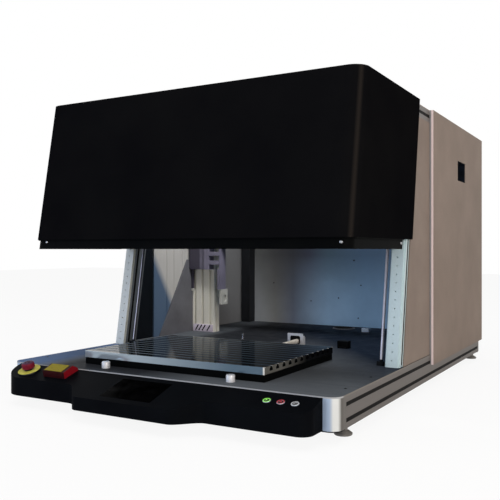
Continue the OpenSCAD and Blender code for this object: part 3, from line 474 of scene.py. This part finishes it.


# Chromed rod over a dark moulded foot: pale and smooth above, matt below the foot's top.
# The left rod has a painted reflection: dark on the side that faces +x, as chrome beside a dark
# chamber.
def strutFinish():
    look = {"rod": "#aaa8b2", "rodPale": "#c4c2cb", "mirrored": "#26282e", "foot": "#1b1d20",
            "footMm": 13.5, "toneMm": 40}
    material, tree, shader, place = newFinish("chromed steel, strut rod")
    tone = addNode(tree, "TexNoise", {"Vector": place, "Scale": 1000 / look["toneMm"],
                                      "Detail": 4})["Fac"]
    x, y, z = addNode(tree, "SeparateXYZ", [place])
    faces = addNode(tree, "SeparateXYZ", [addNode(tree, "NewGeometry")["Normal"]])
    rod = turning(tree, look["rod"], look["rodPale"], tone)
    # painted reflection on the left rod's side that faces +x
    mirrored = whereAll(tree, [(faces["X"], 0.3, 0.5), (x, 0.01, -0.01)])
    rod = turning(tree, rod, look["mirrored"], mirrored, 0, 1)
    footTop = deckTop + look["footMm"] / 1000
    isRod = addNode(tree, "MapRange", [z, footTop, footTop + 0.0003])[0]
    feed(tree, shader, {
        "Base Color": turning(tree, look["foot"], rod, isRod, 0, 1),
        "Metallic": addNode(tree, "Math", [isRod, 0.35], operation="MULTIPLY")[0],
        "Roughness": addNode(tree, "MapRange", [isRod, 0, 1, 0.55, 0.3])[0],
        "Specular IOR Level": addNode(tree, "Math", [isRod, 0.3], operation="MULTIPLY")[0],
        "Normal": addNode(tree, "Bump", {"Strength": 0.3, "Height": tone,
                                         "Distance": 0.00001})[0],
    })
    return material


# Black glass over the display: near-black, mirror-smooth, with a trace of finger grease.
def screenFinish():
    material, tree, shader, place = newFinish("toughened glass, black screen")
    grease = addNode(tree, "TexNoise", {"Vector": place, "Scale": 1000 / 28, "Detail": 5,
                                        "Roughness": 0.65})["Fac"]
    smear = addNode(tree, "MapRange", [grease, 0.4, 0.7])[0]
    feed(tree, shader, {
        "Base Color": turning(tree, "#010101", "#030304", smear, 0, 1),
        "Roughness": addNode(tree, "MapRange", [smear, 0, 1, 0.1, 0.22])[0],
        "Specular IOR Level": 0.02,
    })
    return material


# Coated lens glass: dark, with a painted violet reflection of its anti-reflection coating at its
# rim.
def lensFinish():
    material, tree, shader, place = newFinish("coated optical glass")
    rim = addNode(tree, "LayerWeight", {"Blend": 0.35})["Facing"]
    dust = addNode(tree, "TexNoise", {"Vector": place, "Scale": 500, "Detail": 3})["Fac"]
    feed(tree, shader, {
        "Base Color": turning(tree, "#0a0a14", "#4a2a78", rim, 0, 1),
        "Roughness": addNode(tree, "MapRange", [dust, 0.4, 0.8, 0.03, 0.12])[0],
        "Coat Weight": 0.6,
    })
    return material


finishes.update(deck=deckFinish(), backWall=backWallFinish(), table=tableFinish(),
                strut=strutFinish(), screen=screenFinish(), lensGlass=lensFinish())

dressing = {
    "footRubber": ["levelling_feet"],
    "railAluminium": ["base_rails", "top_rails"],
    "beamAluminium": ["base_beams", "top_beams", "cross_beam"],
    "cornerAluminium": ["base_corners"],
    "castAluminium": ["socket_plate"],
    "deck": ["deck_plate"],
    "postAluminium": ["front_posts", "guide_rails"],
    "columnAluminium": ["z_columns", "uprights"],
    "wallPost": ["wall_posts"],
    "panelGrey": ["rear_panel", "roof_panel"],
    "sidePanel": ["side_panels"],
    "cover": ["rear_cover"],
    "innerPanel": ["upper_front_panel"],
    "backWall": ["back_wall"],
    "blackPlastic": ["cable_duct", "fan_frame", "fan_wheel", "mains_inlet", "exhaust_spigot",
                     "strut_tubes", "estop_body"],
    "slotBlack": ["limit_box"],
    "navyPlastic": ["hand_grips"],
    "motorSteel": ["laser_source", "z_motors", "laser_arm", "scan_head"],
    "lipBlack": ["table_base", "door_frame"],
    "table": ["table_top"],
    "steel": ["door_buffers"],
    "bracketGrey": ["gussets", "deck_port"],
    "carriageGrey": ["z_carriages"],
    "strut": ["strut_rods"],
    "doorBlack": ["door_hood"],
    "screwSteel": ["guide_blocks", "carriage_plates"],
    "consoleBlack": ["console"],
    "screen": ["touch_screen"],
    "yellowPlastic": ["estop_plate"],
    "redPlastic": ["estop_stem", "estop_head"],
    "lampRed": ["emission_lamp"],
    "capBlack": ["start_button", "stop_button", "reset_button", "lens"],
    "brightAluminium": ["button_rings", "gland_block"],
    "beigePlastic": ["socket_plug"],
}
for finish, names in dressing.items():
    for name in names:
        mesh = nodes[name].data
        mesh.materials.clear()
        mesh.materials.append(finishes[finish])
print("nodes dressed:", sum(len(n) for n in dressing.values()))


# Quads of a grid of points, row by row, closed round where asked.
def gridFaces(rows, cols, aroundRows=False, aroundCols=False, start=0):
    i = np.arange(rows if aroundRows else rows - 1)
    j = np.arange(cols if aroundCols else cols - 1)
    i, j = np.meshgrid(i, j, indexing="ij")
    a = i * cols + j
    b = i * cols + (j + 1) % cols
    c = ((i + 1) % rows) * cols + (j + 1) % cols
    d = ((i + 1) % rows) * cols + j
    return start + np.stack([a, b, c, d], -1).reshape(-1, 4)


# (r, h) pairs turned round z: (r cos u, r sin u, h). radius may change r with u.
def revolved(profile, turns=32, radius=None):
    profile = np.asarray(profile, float)
    u = np.arange(turns) * 2 * np.pi / turns
    r = profile[:, :1] * np.ones(turns)
    if radius is not None:
        r = radius(r, u[None, :], profile[:, 1:])
    points = np.stack([r * np.cos(u), r * np.sin(u), profile[:, 1:] * np.ones(turns)], -1)
    return points.reshape(-1, 3), gridFaces(len(profile), turns, aroundCols=True)[:, ::-1]


# A closed section (a, b) carried along a path: path + a side + b (side x direction),
# with its two ends closed by fans.
def carried(section, path, side):
    path = np.asarray(path, float)
    section = np.asarray(section, float)
    direction = np.gradient(path, axis=0)
    direction /= np.linalg.norm(direction, axis=1, keepdims=True)
    side = np.asarray(side, float) * np.ones_like(path)
    side -= (side * direction).sum(1, keepdims=True) * direction
    side /= np.linalg.norm(side, axis=1, keepdims=True)
    up = np.cross(direction, side)
    rings = path[:, None] + section[:, :1] * side[:, None] + section[:, 1:] * up[:, None]
    ends = path[[0, -1], None] * np.ones_like(rings[:1])
    rings = np.concatenate([ends[:1], rings, ends[1:]])
    return rings.reshape(-1, 3), gridFaces(len(rings), len(section), aroundCols=True)


# Rectangle a by b about its middle, with round corners, anticlockwise.
def boxSection(a, b, round=0.0, steps=3):
    if not round:
        return np.array([[a, b], [-a, b], [-a, -b], [a, -b]]) / 2
    t = np.linspace(0, np.pi / 2, steps + 1)
    corner = [(a / 2 - round, b / 2 - round), (round - a / 2, b / 2 - round),
              (round - a / 2, round - b / 2), (a / 2 - round, round - b / 2)]
    return np.concatenate(
        [np.stack([x + round * np.cos(t + k * np.pi / 2), y + round * np.sin(t + k * np.pi / 2)],
                  -1) for k, (x, y) in enumerate(corner)]
    )


# Circle of a few points, anticlockwise.
def ringSection(radius, steps=8):
    u = np.arange(steps) * 2 * np.pi / steps
    return np.stack([radius * np.cos(u), radius * np.sin(u)], -1)


# Copies of a shape drawn along z, turned so that z follows each direction.
def scattered(shape, places, directions=((0, 0, 1.0),)):
    points, faces = shape
    places = np.atleast_2d(np.asarray(places, float))
    z = np.atleast_2d(np.asarray(directions, float)) * np.ones_like(places)
    z = z / np.linalg.norm(z, axis=1, keepdims=True)
    helper = np.where(np.abs(z[:, :1]) > 0.9, [[0.0, 1.0, 0.0]], [[1.0, 0.0, 0.0]])
    x = np.cross(helper, z)
    x /= np.linalg.norm(x, axis=1, keepdims=True)
    y = np.cross(z, x)
    moved = np.einsum("vi,kij->kvj", points, np.stack([x, y, z], 1)) + places[:, None]
    shift = np.arange(len(places))[:, None, None] * len(points)
    return moved.reshape(-1, 3), (faces[None] + shift).reshape(-1, faces.shape[1])


# Several (points, faces) as one.
def joined(*shapes):
    starts = np.cumsum([0] + [len(p) for p, f in shapes[:-1]])
    return (
        np.concatenate([p for p, f in shapes]),
        np.concatenate([f + s for (p, f), s in zip(shapes, starts)]),
    )


# Button head with a hexagon socket: a dome from rim to socket, the six-sided wall
# a / cos((u + 30 deg) mod 60 deg - 30 deg), and its floor.
def screwHead(diameter, height, socket):
    t = np.linspace(0, np.pi / 2 * 0.72, 5)
    r = diameter / 2
    dome = np.stack([r * np.cos(t), height * np.sin(t) / math.sin(np.pi / 2 * 0.72)], -1)
    profile = np.concatenate([[[r, -0.4]], dome, [[socket, height], [socket, height * 0.35],
                                                  [0, height * 0.35]]])
    hexRows = len(dome) + 1

    def hexagon(radius, u, h):
        a = np.cos((u + np.pi / 6) % (np.pi / 3) - np.pi / 6)
        out = radius.copy()
        out[hexRows : hexRows + 2] = socket * 0.87 / a
        return out

    return revolved(profile, 24, hexagon)


# Six-sided nut with a chamfered top, round its bore.
def hexNut(across, height, bore):
    profile = [[bore, 0], [across / 2, 0], [across / 2, height * 0.86], [across / 2 - 0.6, height],
               [bore, height]]

    def sides(radius, u, h):
        a = np.cos((u + np.pi / 6) % (np.pi / 3) - np.pi / 6)
        out = radius.copy()
        out[1:4] = radius[1:4] / a
        out[3] = np.minimum(out[3], across / 2 * 1.04)
        return out

    return revolved(profile + [[bore, 0]], 24, sides)


# A new object of the scene.
def addObject(name, data):
    thing = bpy.data.objects.new(name, data)
    bpy.context.scene.collection.objects.link(thing)
    return thing


# Puts points (deck millimetres) and quads into a mesh, merges doubles, closes the
# normals outwards and rides it on its body.
def makePiece(name, shape, finish, body="frame", place=None):
    points, faces = shape
    if place is not None:
        points = place(points)
    mesh = bpy.data.meshes.new(name)
    mesh.from_pydata(toWorld(points).tolist(), [], np.asarray(faces).tolist())
    piece = addObject(name, mesh)
    shell = bmesh.new()
    shell.from_mesh(mesh)
    bmesh.ops.remove_doubles(shell, verts=shell.verts, dist=1e-6)
    bmesh.ops.recalc_face_normals(shell, faces=shell.faces)
    shell.to_mesh(mesh)
    shell.free()
    mesh.shade_smooth()
    mesh.set_sharp_from_angle(angle=math.radians(32))
    mesh.materials.append(finishes[finish])
    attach(piece, body)
    return piece


# Thin plate over an outline, or between an outline and the one inside it.
def flatIcon(outline, inner=None, thick=0.25):
    outline = np.asarray(outline, float)
    inner = outline * 0 + outline.mean(0) if inner is None else np.asarray(inner, float)
    n = len(outline)
    rows = [(outline, 0), (outline, thick), (inner, thick), (inner, 0)]
    points = np.concatenate([np.column_stack([p, np.full(n, h)]) for p, h in rows])
    return points, gridFaces(4, n, aroundRows=True, aroundCols=True)


sides = np.array([-1.0, 1.0])

print("base")
foot = {"nutAcross": 17, "nutHeight": 7, "bore": 5.1, "x": 400.0, "y": (84.0, 1180.0), "z": -63.0}
footPlaces = [[s * foot["x"], y, foot["z"] - foot["nutHeight"] - 0.2]
              for y in foot["y"] for s in sides]
nut = hexNut(foot["nutAcross"], foot["nutHeight"], foot["bore"])
makePiece("foot_nuts", scattered(nut, footPlaces), "screwSteel")

# Gaskets under the corners, along the rounded outline of each.
gasket = {"thick": 1.2, "width": 4.0, "inset": 2.5, "cornerRadius": 25}
cornerArc = np.linspace(-np.pi / 2, 0, 13)
arcLine = gasket["cornerRadius"] * np.stack([np.cos(cornerArc), np.sin(cornerArc)], -1)
cornerLine = np.concatenate([[[388, 0]], arcLine + [400, 25], [[425, 37]]])
gasketZ = foot["z"] - gasket["thick"] / 2
cornerPath = np.column_stack([cornerLine, np.full(len(cornerLine), gasketZ)])


# Path in plan moved to its left by a distance.
def inward(path, by):
    d = np.gradient(path[:, :2], axis=0)
    d /= np.linalg.norm(d, axis=1, keepdims=True)
    out = path.copy()
    out[:, 0] -= d[:, 1] * by
    out[:, 1] += d[:, 0] * by
    return out


cornerPath = inward(cornerPath, gasket["inset"])
strip = boxSection(gasket["width"], gasket["thick"])
gaskets = [carried(strip, cornerPath * [mirrorX, mirrorY, 1] + [0, y0, 0], [0.0, 0.0, 1.0])
           for mirrorX in (1, -1) for y0, mirrorY in ((0, 1), (1205, -1))]
makePiece("corner_gaskets", joined(*gaskets), "gasketRubber")

slotCover = {"mouth": 8, "below": 0.6, "thick": 1.2}


# Flat strip snapped into a T-slot's mouth, from start to end; outward is the way it looks.
def coverStrip(start, end, outward):
    path = np.array([start, end], float) - np.array(outward) * slotCover["below"]
    side = np.cross(path[1] - path[0], outward)
    return carried(boxSection(slotCover["mouth"] - 0.3, slotCover["thick"]), path, side)


strips = [coverStrip([s * x, y0, z], [s * x, y1, z], [s, 0.0, 0.0])
          for x, y0, y1, z in ((425.0, 38.5, 1166.5, -18.0), (425.0, 38.5, 1166.5, -48.0),
                               (423.0, 490.0, 1185.0, 611.5)) for s in sides]
makePiece("slot_covers", joined(*strips), "slotBlack")
postStrips = {"foot": 7, "top": 627, "inner": 385, "outer": 420, "slots": (12.6, 32.4)}
mouths = [(postStrips["inner"], p, -1) for p in postStrips["slots"]]
mouths.append((postStrips["outer"], postStrips["slots"][0], 1))
leaning = [coverStrip(*alongPost([[s * x, p, postStrips["foot"]], [s * x, p, postStrips["top"]]]),
                      [facing * s, 0.0, 0.0]) for s in sides for x, p, facing in mouths]
makePiece("post_slot_covers", joined(*leaning), "slotBlack")

print("screws on the panels")
rear = machine["panelRear"]
smallHead = screwHead(6.0, 1.6, 1.5)


# Screw heads at points (x, y, z) of a face that looks along facing.
def screws(name, head, points, facing, finish="darkScrew"):
    makePiece(name, scattered(head, points, [facing]), finish)


wallScrews = [(-304, 147), (-151, 85), (-44, 99), (30, 31), (40, 146), (14, 233), (240, 147),
              (330, 40), (352, 233), (-390, 300), (150, 300)]
screws("wall_screws", screwHead(5.0, 1.3, 1.3),
       [[x, machine["wallFront"], z] for x, z in wallScrews], [0, -1.0, 0])
screws("deck_screws", screwHead(7.0, 0.8, 1.8),
       [[x, y, 0] for y in (91, 232) for x in (-402, 402)], [0, 0, 1.0])
screws("rear_screws", smallHead,
       [[x, rear + 2.0, z] for x in (-411.0, 411.0) for z in np.linspace(28, 600, 7)]
       + [[x, rear, z] for z in (16.0, 612.0) for x in np.linspace(-330, 330, 7)], [0, 1.0, 0])
screws("roof_screws", smallHead,
       [[x, y, 628.5] for y in (532.0, 594.0, 622.0, 1180.0) for x in np.linspace(-400, 400, 5)],
       [0, 0, 1.0])
spigot = {"x": 250, "z": 500, "pitchRadius": 47.5, "bead": 1.6}
fan = {"x": -250, "z": 470, "half": 52.5, "wire": 1.1}
screws("fitting_screws", screwHead(6.0, 1.8, 1.6),
       [[spigot["x"] + spigot["pitchRadius"] * math.cos(a), rear + 3.0,
         spigot["z"] + spigot["pitchRadius"] * math.sin(a)] for a in np.arange(6) * np.pi / 3]
       + [[fan["x"] + a * fan["half"], rear, fan["z"] + b * fan["half"]]
          for a in sides for b in sides]
       + [[-330.0 + a, rear + 3.0, 70.0] for a in (-26, 26)], [0, 1.0, 0], "screwSteel")

print("rear fittings")


# Ring of wire in the x-z plane.
def hoop(radius, x, y, z, wire):
    section = ringSection(wire) + [radius, 0]
    return scattered(revolved([*section, section[0]], 48), [[x, y, z]], [[0, 1.0, 0]])


guard = [hoop(r, fan["x"], rear + 2.4, fan["z"], fan["wire"]) for r in (12, 22, 32, 42, 52)]
for a in np.arange(4) * np.pi / 2 + np.pi / 4:
    spoke = [[fan["x"] + r * math.cos(a), rear + 1.3, fan["z"] + r * math.sin(a)]
             for r in (12, 66)]
    guard.append(carried(ringSection(fan["wire"]), spoke, (0.0, 1.0, 0.0)))
makePiece("fan_guard", joined(*guard), "steel")
beads = joined(hoop(40.6, spigot["x"], rear + 27.0, spigot["z"], spigot["bead"]),
               hoop(40.3, spigot["x"], rear + 5.0, spigot["z"], 1.2))
makePiece("spigot_bead", beads, "blackPlastic")

print("work space")
port, pinAt, bufferX, bufferY = [4, 1053, 0], [-153, 638, 0], (-162, 172), 38
grommet = [[33.2, 1.0], [33.2, 3.2], [32.4, 4.0], [30.5, 3.4], [29.0, 2.0], [28.4, 0],
           [28.4, -3.0], [32.6, -3.0], [33.2, -2.0], [33.2, 1.0]]
makePiece("port_grommet", scattered(revolved(grommet, 48), [port]), "gasketRubber")
pin = [[0, 0], [6, 0], [6, 2], [2.6, 2.6], [2.6, 14.5], [1.6, 16], [0, 16]]
makePiece("locating_pin", scattered(revolved(pin, 20), [pinAt]), "steel")

# Zinc plates at the columns' feet, each with a row of slanting slots, whose openings are black
# bars standing for painted shade.
columnFoot = {"width": 76, "height": 24, "thick": 3.0, "slant": 12, "slots": (9, 22.5, 36, 55),
              "x": (-405.0, 329.0), "y": 740.6}
lows = [np.array([x, columnFoot["y"], 0.0]) for x in columnFoot["x"]]
middle = columnFoot["height"] / 2
feet = [carried(boxSection(columnFoot["height"], columnFoot["thick"], 0.8),
                low + np.array([[0, 0, middle], [columnFoot["width"], 0, middle]]),
                (0.0, 0.0, 1.0)) for low in lows]
# black bars as painted shade in the slanting openings
slots = [carried(boxSection(3.6, 1.6),
                 low + np.array([[x, -2.0, 4.0], [x + columnFoot["slant"], -2.0, 22.0]]),
                 (1.0, 0.0, 0.0)) for low in lows for x in columnFoot["slots"]]
makePiece("column_feet", joined(*feet), "zincPlate")
makePiece("column_foot_slot_shadows", joined(*slots), "slotBlack")

socket = {"x": 57.5, "y": 570, "frame": (47, 37), "opening": (31, 23), "z": 18.8, "plugX": 63,
          "plugZ": 15.5, "plugRadius": 6.5, "bootEnd": 474, "bootRadius": 5.2, "ribs": 12}


# Points given as (x, z) on the socket's face, h towards the front.
def onSocket(points):
    return np.stack([points[:, 0], socket["y"] - points[:, 2], points[:, 1]], -1)


opening = boxSection(*socket["opening"], 5.0, 7) + [socket["x"], socket["z"] + 0.2]
rim = boxSection(*socket["frame"], 2.0, 7) + [socket["x"], socket["z"]]
around = np.arctan2(*(opening - [socket["plugX"], socket["plugZ"]]).T[::-1])
hole = (np.stack([np.cos(around), np.sin(around)], -1) * (socket["plugRadius"] + 0.3)
        + [socket["plugX"], socket["plugZ"]])
makePiece("socket_frame", flatIcon(rim, opening, 2.4), "castAluminium",
          place=onSocket)
makePiece("socket_insert", flatIcon(opening, hole, 1.2), "slotBlack",
          place=onSocket)
bootY = np.linspace(0, 546 - socket["bootEnd"], 4 * socket["ribs"] + 1)
bootR = np.linspace(socket["plugRadius"], socket["bootRadius"], len(bootY))
bootR = bootR - 0.6 * (np.arange(len(bootY)) % 4 > 1)
boot = np.concatenate([[[0, 0]], np.stack([bootR, bootY], -1), [[0, bootY[-1]]]])
boots = scattered(revolved(boot, 24), [[socket["plugX"], 546.0, socket["plugZ"]]], [[0, -1.0, 0]])
makePiece("plug_boot", boots, "beigePlastic")

print("door")
bolt = screwHead(7.2, 2.6, 2.0)
lean = machine["lean"]
# The right bolt is on the lip's rounded corner, so it is set back and turned.
bolts = {"z": 285.0, "leftUp": 4, "x": (-380.0, 402.0), "back": 1.2, "turned": math.radians(16),
         "sideX": 420.0, "frontFace": 6.5 - 354, "side": -25 - 14}


# y, at a height z, of a point that lies p behind the post fronts.
def leanY(p, z):
    return machine["postFoot"] + (p + z * math.sin(lean)) / math.cos(lean)


frontY = leanY(bolts["frontFace"], bolts["z"])
sideY = leanY(bolts["side"], bolts["z"])
outward = [[math.sin(a), -math.cos(a) * math.cos(lean), math.sin(lean)]
           for a in (0, bolts["turned"])]
frontPlaces = [[bolts["x"][0], frontY, bolts["z"] + bolts["leftUp"]],
               [bolts["x"][1], frontY + bolts["back"], bolts["z"]]]
frontBolts = scattered(bolt, frontPlaces, outward)
sideBolts = scattered(bolt, [[s * bolts["sideX"], sideY, bolts["z"]] for s in sides],
                      [[s, 0, 0] for s in sides])
heads = makePiece("lip_bolt_heads", joined(frontBolts, sideBolts), "screwSteel", "door")
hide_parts("lip_bolts")

pad = [[0, 0], [9.5, 0], [9.5, 12.6], [8.9, 14.2], [7.4, 15], [0, 15]]
pads = scattered(revolved(pad, 40), [[x, bufferY, 0] for x in bufferX])
buffers = makePiece("buffer_pads", pads, "castAluminium")
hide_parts("door_buffers")

print("screws that raise the head")


# Four-start trapezoidal thread: r = 6 - 1.2 smooth step of the distance from the crest in
# z / pitch - 4 u / 2 pi, between a plain foot, a bearing journal and a plain top.
def leadScrew(x):
    y, pitch, starts = 795.3, 2.5, 4
    z = np.concatenate([[0.3, 0.3], np.arange(6, 484, 0.62), [485, 485, 509, 509, 512, 512]])
    u = np.arange(20) * 2 * np.pi / 20
    phase = (z[:, None] / pitch - starts * u[None] / (2 * np.pi)) % 1.0
    hill = np.clip((np.abs(phase - 0.5) - 0.15) / 0.2, 0, 1)
    r = 6.0 - 1.2 * (1 - hill)
    r[:2] = [[0.0], [6.0]]
    r[-6:] = [[5.0], [10.0], [10.0], [4.5], [4.5], [0.0]]
    points = np.stack([x + r * np.cos(u), y + r * np.sin(u), z[:, None] * np.ones(20)], -1)
    return points.reshape(-1, 3), gridFaces(len(z), 20, aroundCols=True)[:, ::-1]


for name, x in (("left", -370.0), ("right", 370.0)):
    thread = makePiece(name + "_thread", leadScrew(x), "steel", name + "_screw")
    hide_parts(name + "_screw")

print("scan head")
lens = {"place": [[-5, 236, 272]], "ribs": 72}


# Ribs round the focus ring: r + 0.5 |sin(ribs u / 2)| between its two grooves.
def knurl(radius, u, h):
    inside = (h > 3.2) & (h < 9.2)
    return radius + np.where(inside, 0.5 * np.abs(np.sin(lens["ribs"] * u / 2)), 0)


ring = [[39.2, 2.6], [40.1, 2.8], [40.1, 3.3], [40.1, 9.1], [40.1, 9.6], [39.2, 9.8], [39.2, 2.6]]
makePiece("lens_ring", scattered(revolved(ring, 288, knurl), lens["place"]), "capBlack",
          "z_head")
t = np.linspace(0, 1, 9)
glass = np.concatenate([np.stack([31 * t, 4.6 - 3.0 * (1 - t**2)], -1), [[31, 5.6], [0, 5.6]]])
makePiece("lens_glass", scattered(revolved(glass, 48), lens["place"]), "lensGlass", "z_head")

print("console")
topMiddle = machine["consoleDepth"] / math.cos(machine["slope"]) / 2
estop = {"x": -334, "s": topMiddle - 2, "neck": 7.9, "head": 14.6}
# The lamp's top is height high at its front edge, and rises towards the rear.
lamp = {"x": -240, "s": 25.0, "length": 65, "height": 15, "front": 21, "rise": 2.5 / 30}
buttons = {"x": 324, "pitch": 29.5, "s": topMiddle}


# Place for a drawing on the k-th button from the middle one, lifted off the console.
def atButton(k, lift):
    def place(points):
        return onConsole(
            np.column_stack([points[:, 0] + buttons["x"] + k * buttons["pitch"],
                             buttons["s"] - points[:, 1], points[:, 2] + lift]))

    return place


turn = np.arange(48) * 2 * np.pi / 48
circle = np.stack([np.cos(turn), np.sin(turn)], -1)
triangle = np.array([[-1.9, -2.6], [2.9, 0], [-1.9, 2.6]])
square = np.array([[-2.1, -2.1], [2.1, -2.1], [2.1, 2.1], [-2.1, 2.1]])
arc = np.linspace(0.6, 5.4, 25)


# Round arrow: a band between two arcs, with a triangle at its end.
def bowIcon(thick=0.25):
    rows = [np.column_stack([r * np.cos(arc), r * np.sin(arc), np.full(len(arc), h)])
            for r, h in ((2.9, 0), (2.9, thick), (2.0, thick), (2.0, 0))]
    band = np.concatenate(rows), gridFaces(4, len(arc), aroundRows=True)
    head = flatIcon(np.array([[3.9, 1.2], [1.3, 1.9], [3.2, 3.6]]) - [0.2, 0.4], thick=thick)
    return joined(band, head)


icons = {"start": (-1, flatIcon(triangle), "greenLens", "green_lens"),
         "stop": (0, flatIcon(square, square * 0.45), "redLens", "red_lens"),
         "reset": (1, bowIcon(), "whiteLens", "white_lens")}
for name, (k, icon, finish, slot) in icons.items():
    makePiece(name + "_icon", icon, finish, name + "_button", place=atButton(k, 1.8))
    makePiece(name + "_glow", flatIcon(circle * 7.5, circle * 6.0, 0.35), finish, "frame",
              place=atButton(k, 1.2))


# Place for a drawing on the emergency stop, h above the console.
def atEstop(points):
    return onConsole(np.column_stack([points[:, 0] + estop["x"], estop["s"] - points[:, 1],
                                      points[:, 2]]))


# Curved arrow: a band whose half width is w for most of the turn, then swells to the
# head and runs to a point.
def arrowBand(middle, inner, outer, span, height, thick):
    t = np.linspace(0, 1, 19)
    a = middle + (t - 0.5) * span
    mean, half = (inner + outer) / 2, (outer - inner) / 2
    w = np.where(t < 0.66, 0.5, np.clip((1 - t) / 0.34, 0, 1)) * half
    r = np.stack([mean + w, mean + w, mean - w, mean - w])
    h = np.array([height, height + thick, height + thick, height])[:, None] * np.ones(19)
    rows = np.stack([r * np.cos(a), r * np.sin(a), h], -1)
    return rows.reshape(-1, 3), gridFaces(4, 19, aroundRows=True)


headTop = estop["neck"] + estop["head"]
arrows = [arrowBand(k * 2 * np.pi / 3, 3.2, 6.6, 1.5, headTop - 0.5, 0.55) for k in range(3)]
makePiece("estop_arrows", joined(*arrows), "lipBlack", "estop_head",
          place=atEstop)


# (across, down the slope, height above the lamp's sloping top).
def lampTop(points):
    s = points[:, 1]
    top = lamp["height"] + (lamp["front"] - s) * lamp["rise"]
    return onConsole(np.column_stack([points[:, 0] + lamp["x"], lamp["s"] + s,
                                      top + points[:, 2]]))


half = lamp["length"] / 2
plate = [[-half + 4, -8.0], [half - 9, -8.0], [half - 9, 19.5], [-half + 4, 19.5]]
makePiece("lamp_plate", flatIcon(plate, thick=0.8), "lampYellow", "frame",
          place=lampTop)

print("stage")
floorSettings = {"half": 9.0, "color": "#f4f3f1", "cameraWhite": 0.9}
corners = np.array([[-1, -1, 0], [1, -1, 0], [1, 1, 0], [-1, 1, 0]]) * floorSettings["half"]
floorMesh = bpy.data.meshes.new("floor")
floorMesh.from_pydata(corners.tolist(), [], [[0, 1, 2, 3]])
floor = addObject("floor", floorMesh)
material, tree, shader, place = newFinish("pale floor")
feed(tree, shader, {"Base Color": floorSettings["color"], "Roughness": 0.9,
                    "Specular IOR Level": 0.0})
seen = addNode(tree, "LightPath")["Is Camera Ray"]
share = addNode(tree, "Math", [seen, floorSettings["cameraWhite"]], operation="MULTIPLY")[0]
white = addNode(tree, "Emission", {"Color": "#ffffff", "Strength": 1.0})[0]
feed(tree, tree.nodes["Material Output"],
     {"Surface": addNode(tree, "MixShader", [share, shader.outputs[0], white])[0]})
floorMesh.materials.append(material)

world = bpy.data.worlds.new("studio")
bpy.context.scene.world = world
world.use_nodes = True
tree = world.node_tree
rays = addNode(tree, "LightPath")
seen = addNode(tree, "Math", [rays["Is Camera Ray"], rays["Is Glossy Ray"]], operation="ADD")[0]
seen = addNode(tree, "Math", [seen, rays["Is Transmission Ray"]], operation="ADD")[0]
feed(tree, tree.nodes["Background"], {
    "Color": "#ffffff", "Strength": addNode(tree, "MapRange", [seen, 0, 1, 0.5, 1.0])[0]})

# Each lamp: place, the point that it looks at, width, height, watts and colour.
lamps = {
    "window": ((-2.6, -3.0, 0.5), (0.1, 0.3, 0.2), 1.4, 1.4, 40, "#a9c4f2"),
    "chamber": ((0.9, -3.6, 0.32), (0.0, 0.4, 0.22), 1.3, 1.3, 18, "#e6edfa"),
    "rightFront": ((3.0, -2.4, 0.9), (0.4, -0.4, 0.2), 0.8, 0.8, 38, "#fff3ea"),
    "right": ((3.4, -0.2, 1.2), (0.4, 0.2, 0.35), 2.0, 2.0, 14, "#ffe9d6"),
    "ceiling": ((0.2, -0.6, 3.4), (0, 0, 0.3), 2.6, 2.6, 36, "#ffffff"),
    "workLight": ((0.0, 0.0, 0.66), (0.0, 0.25, 0.1), 0.5, 0.1, 4.2, "#ffffff"),
}
for name, (at, to, width, height, watts, color) in lamps.items():
    light = bpy.data.lights.new(name, "AREA")
    light.energy = watts
    light.shape = "RECTANGLE"
    light.size = width
    light.size_y = height
    light.color = linearColor(color)[:3]
    holder = addObject(name, light)
    holder.location = at
    holder.rotation_euler = (Vector(to) - Vector(at)).to_track_quat("-Z", "Y").to_euler()

camera = addObject("camera", bpy.data.cameras.new("camera"))
camera.data.lens = 50
camera.data.sensor_width = 36
camera.location = (0.9162, -1.1712 + deckFront, 0.26935 + deckTop)
camera.rotation_euler = (math.radians(90), 0, math.radians(30))
bpy.context.scene.camera = camera
bpy.context.scene.view_settings.view_transform = "Standard"
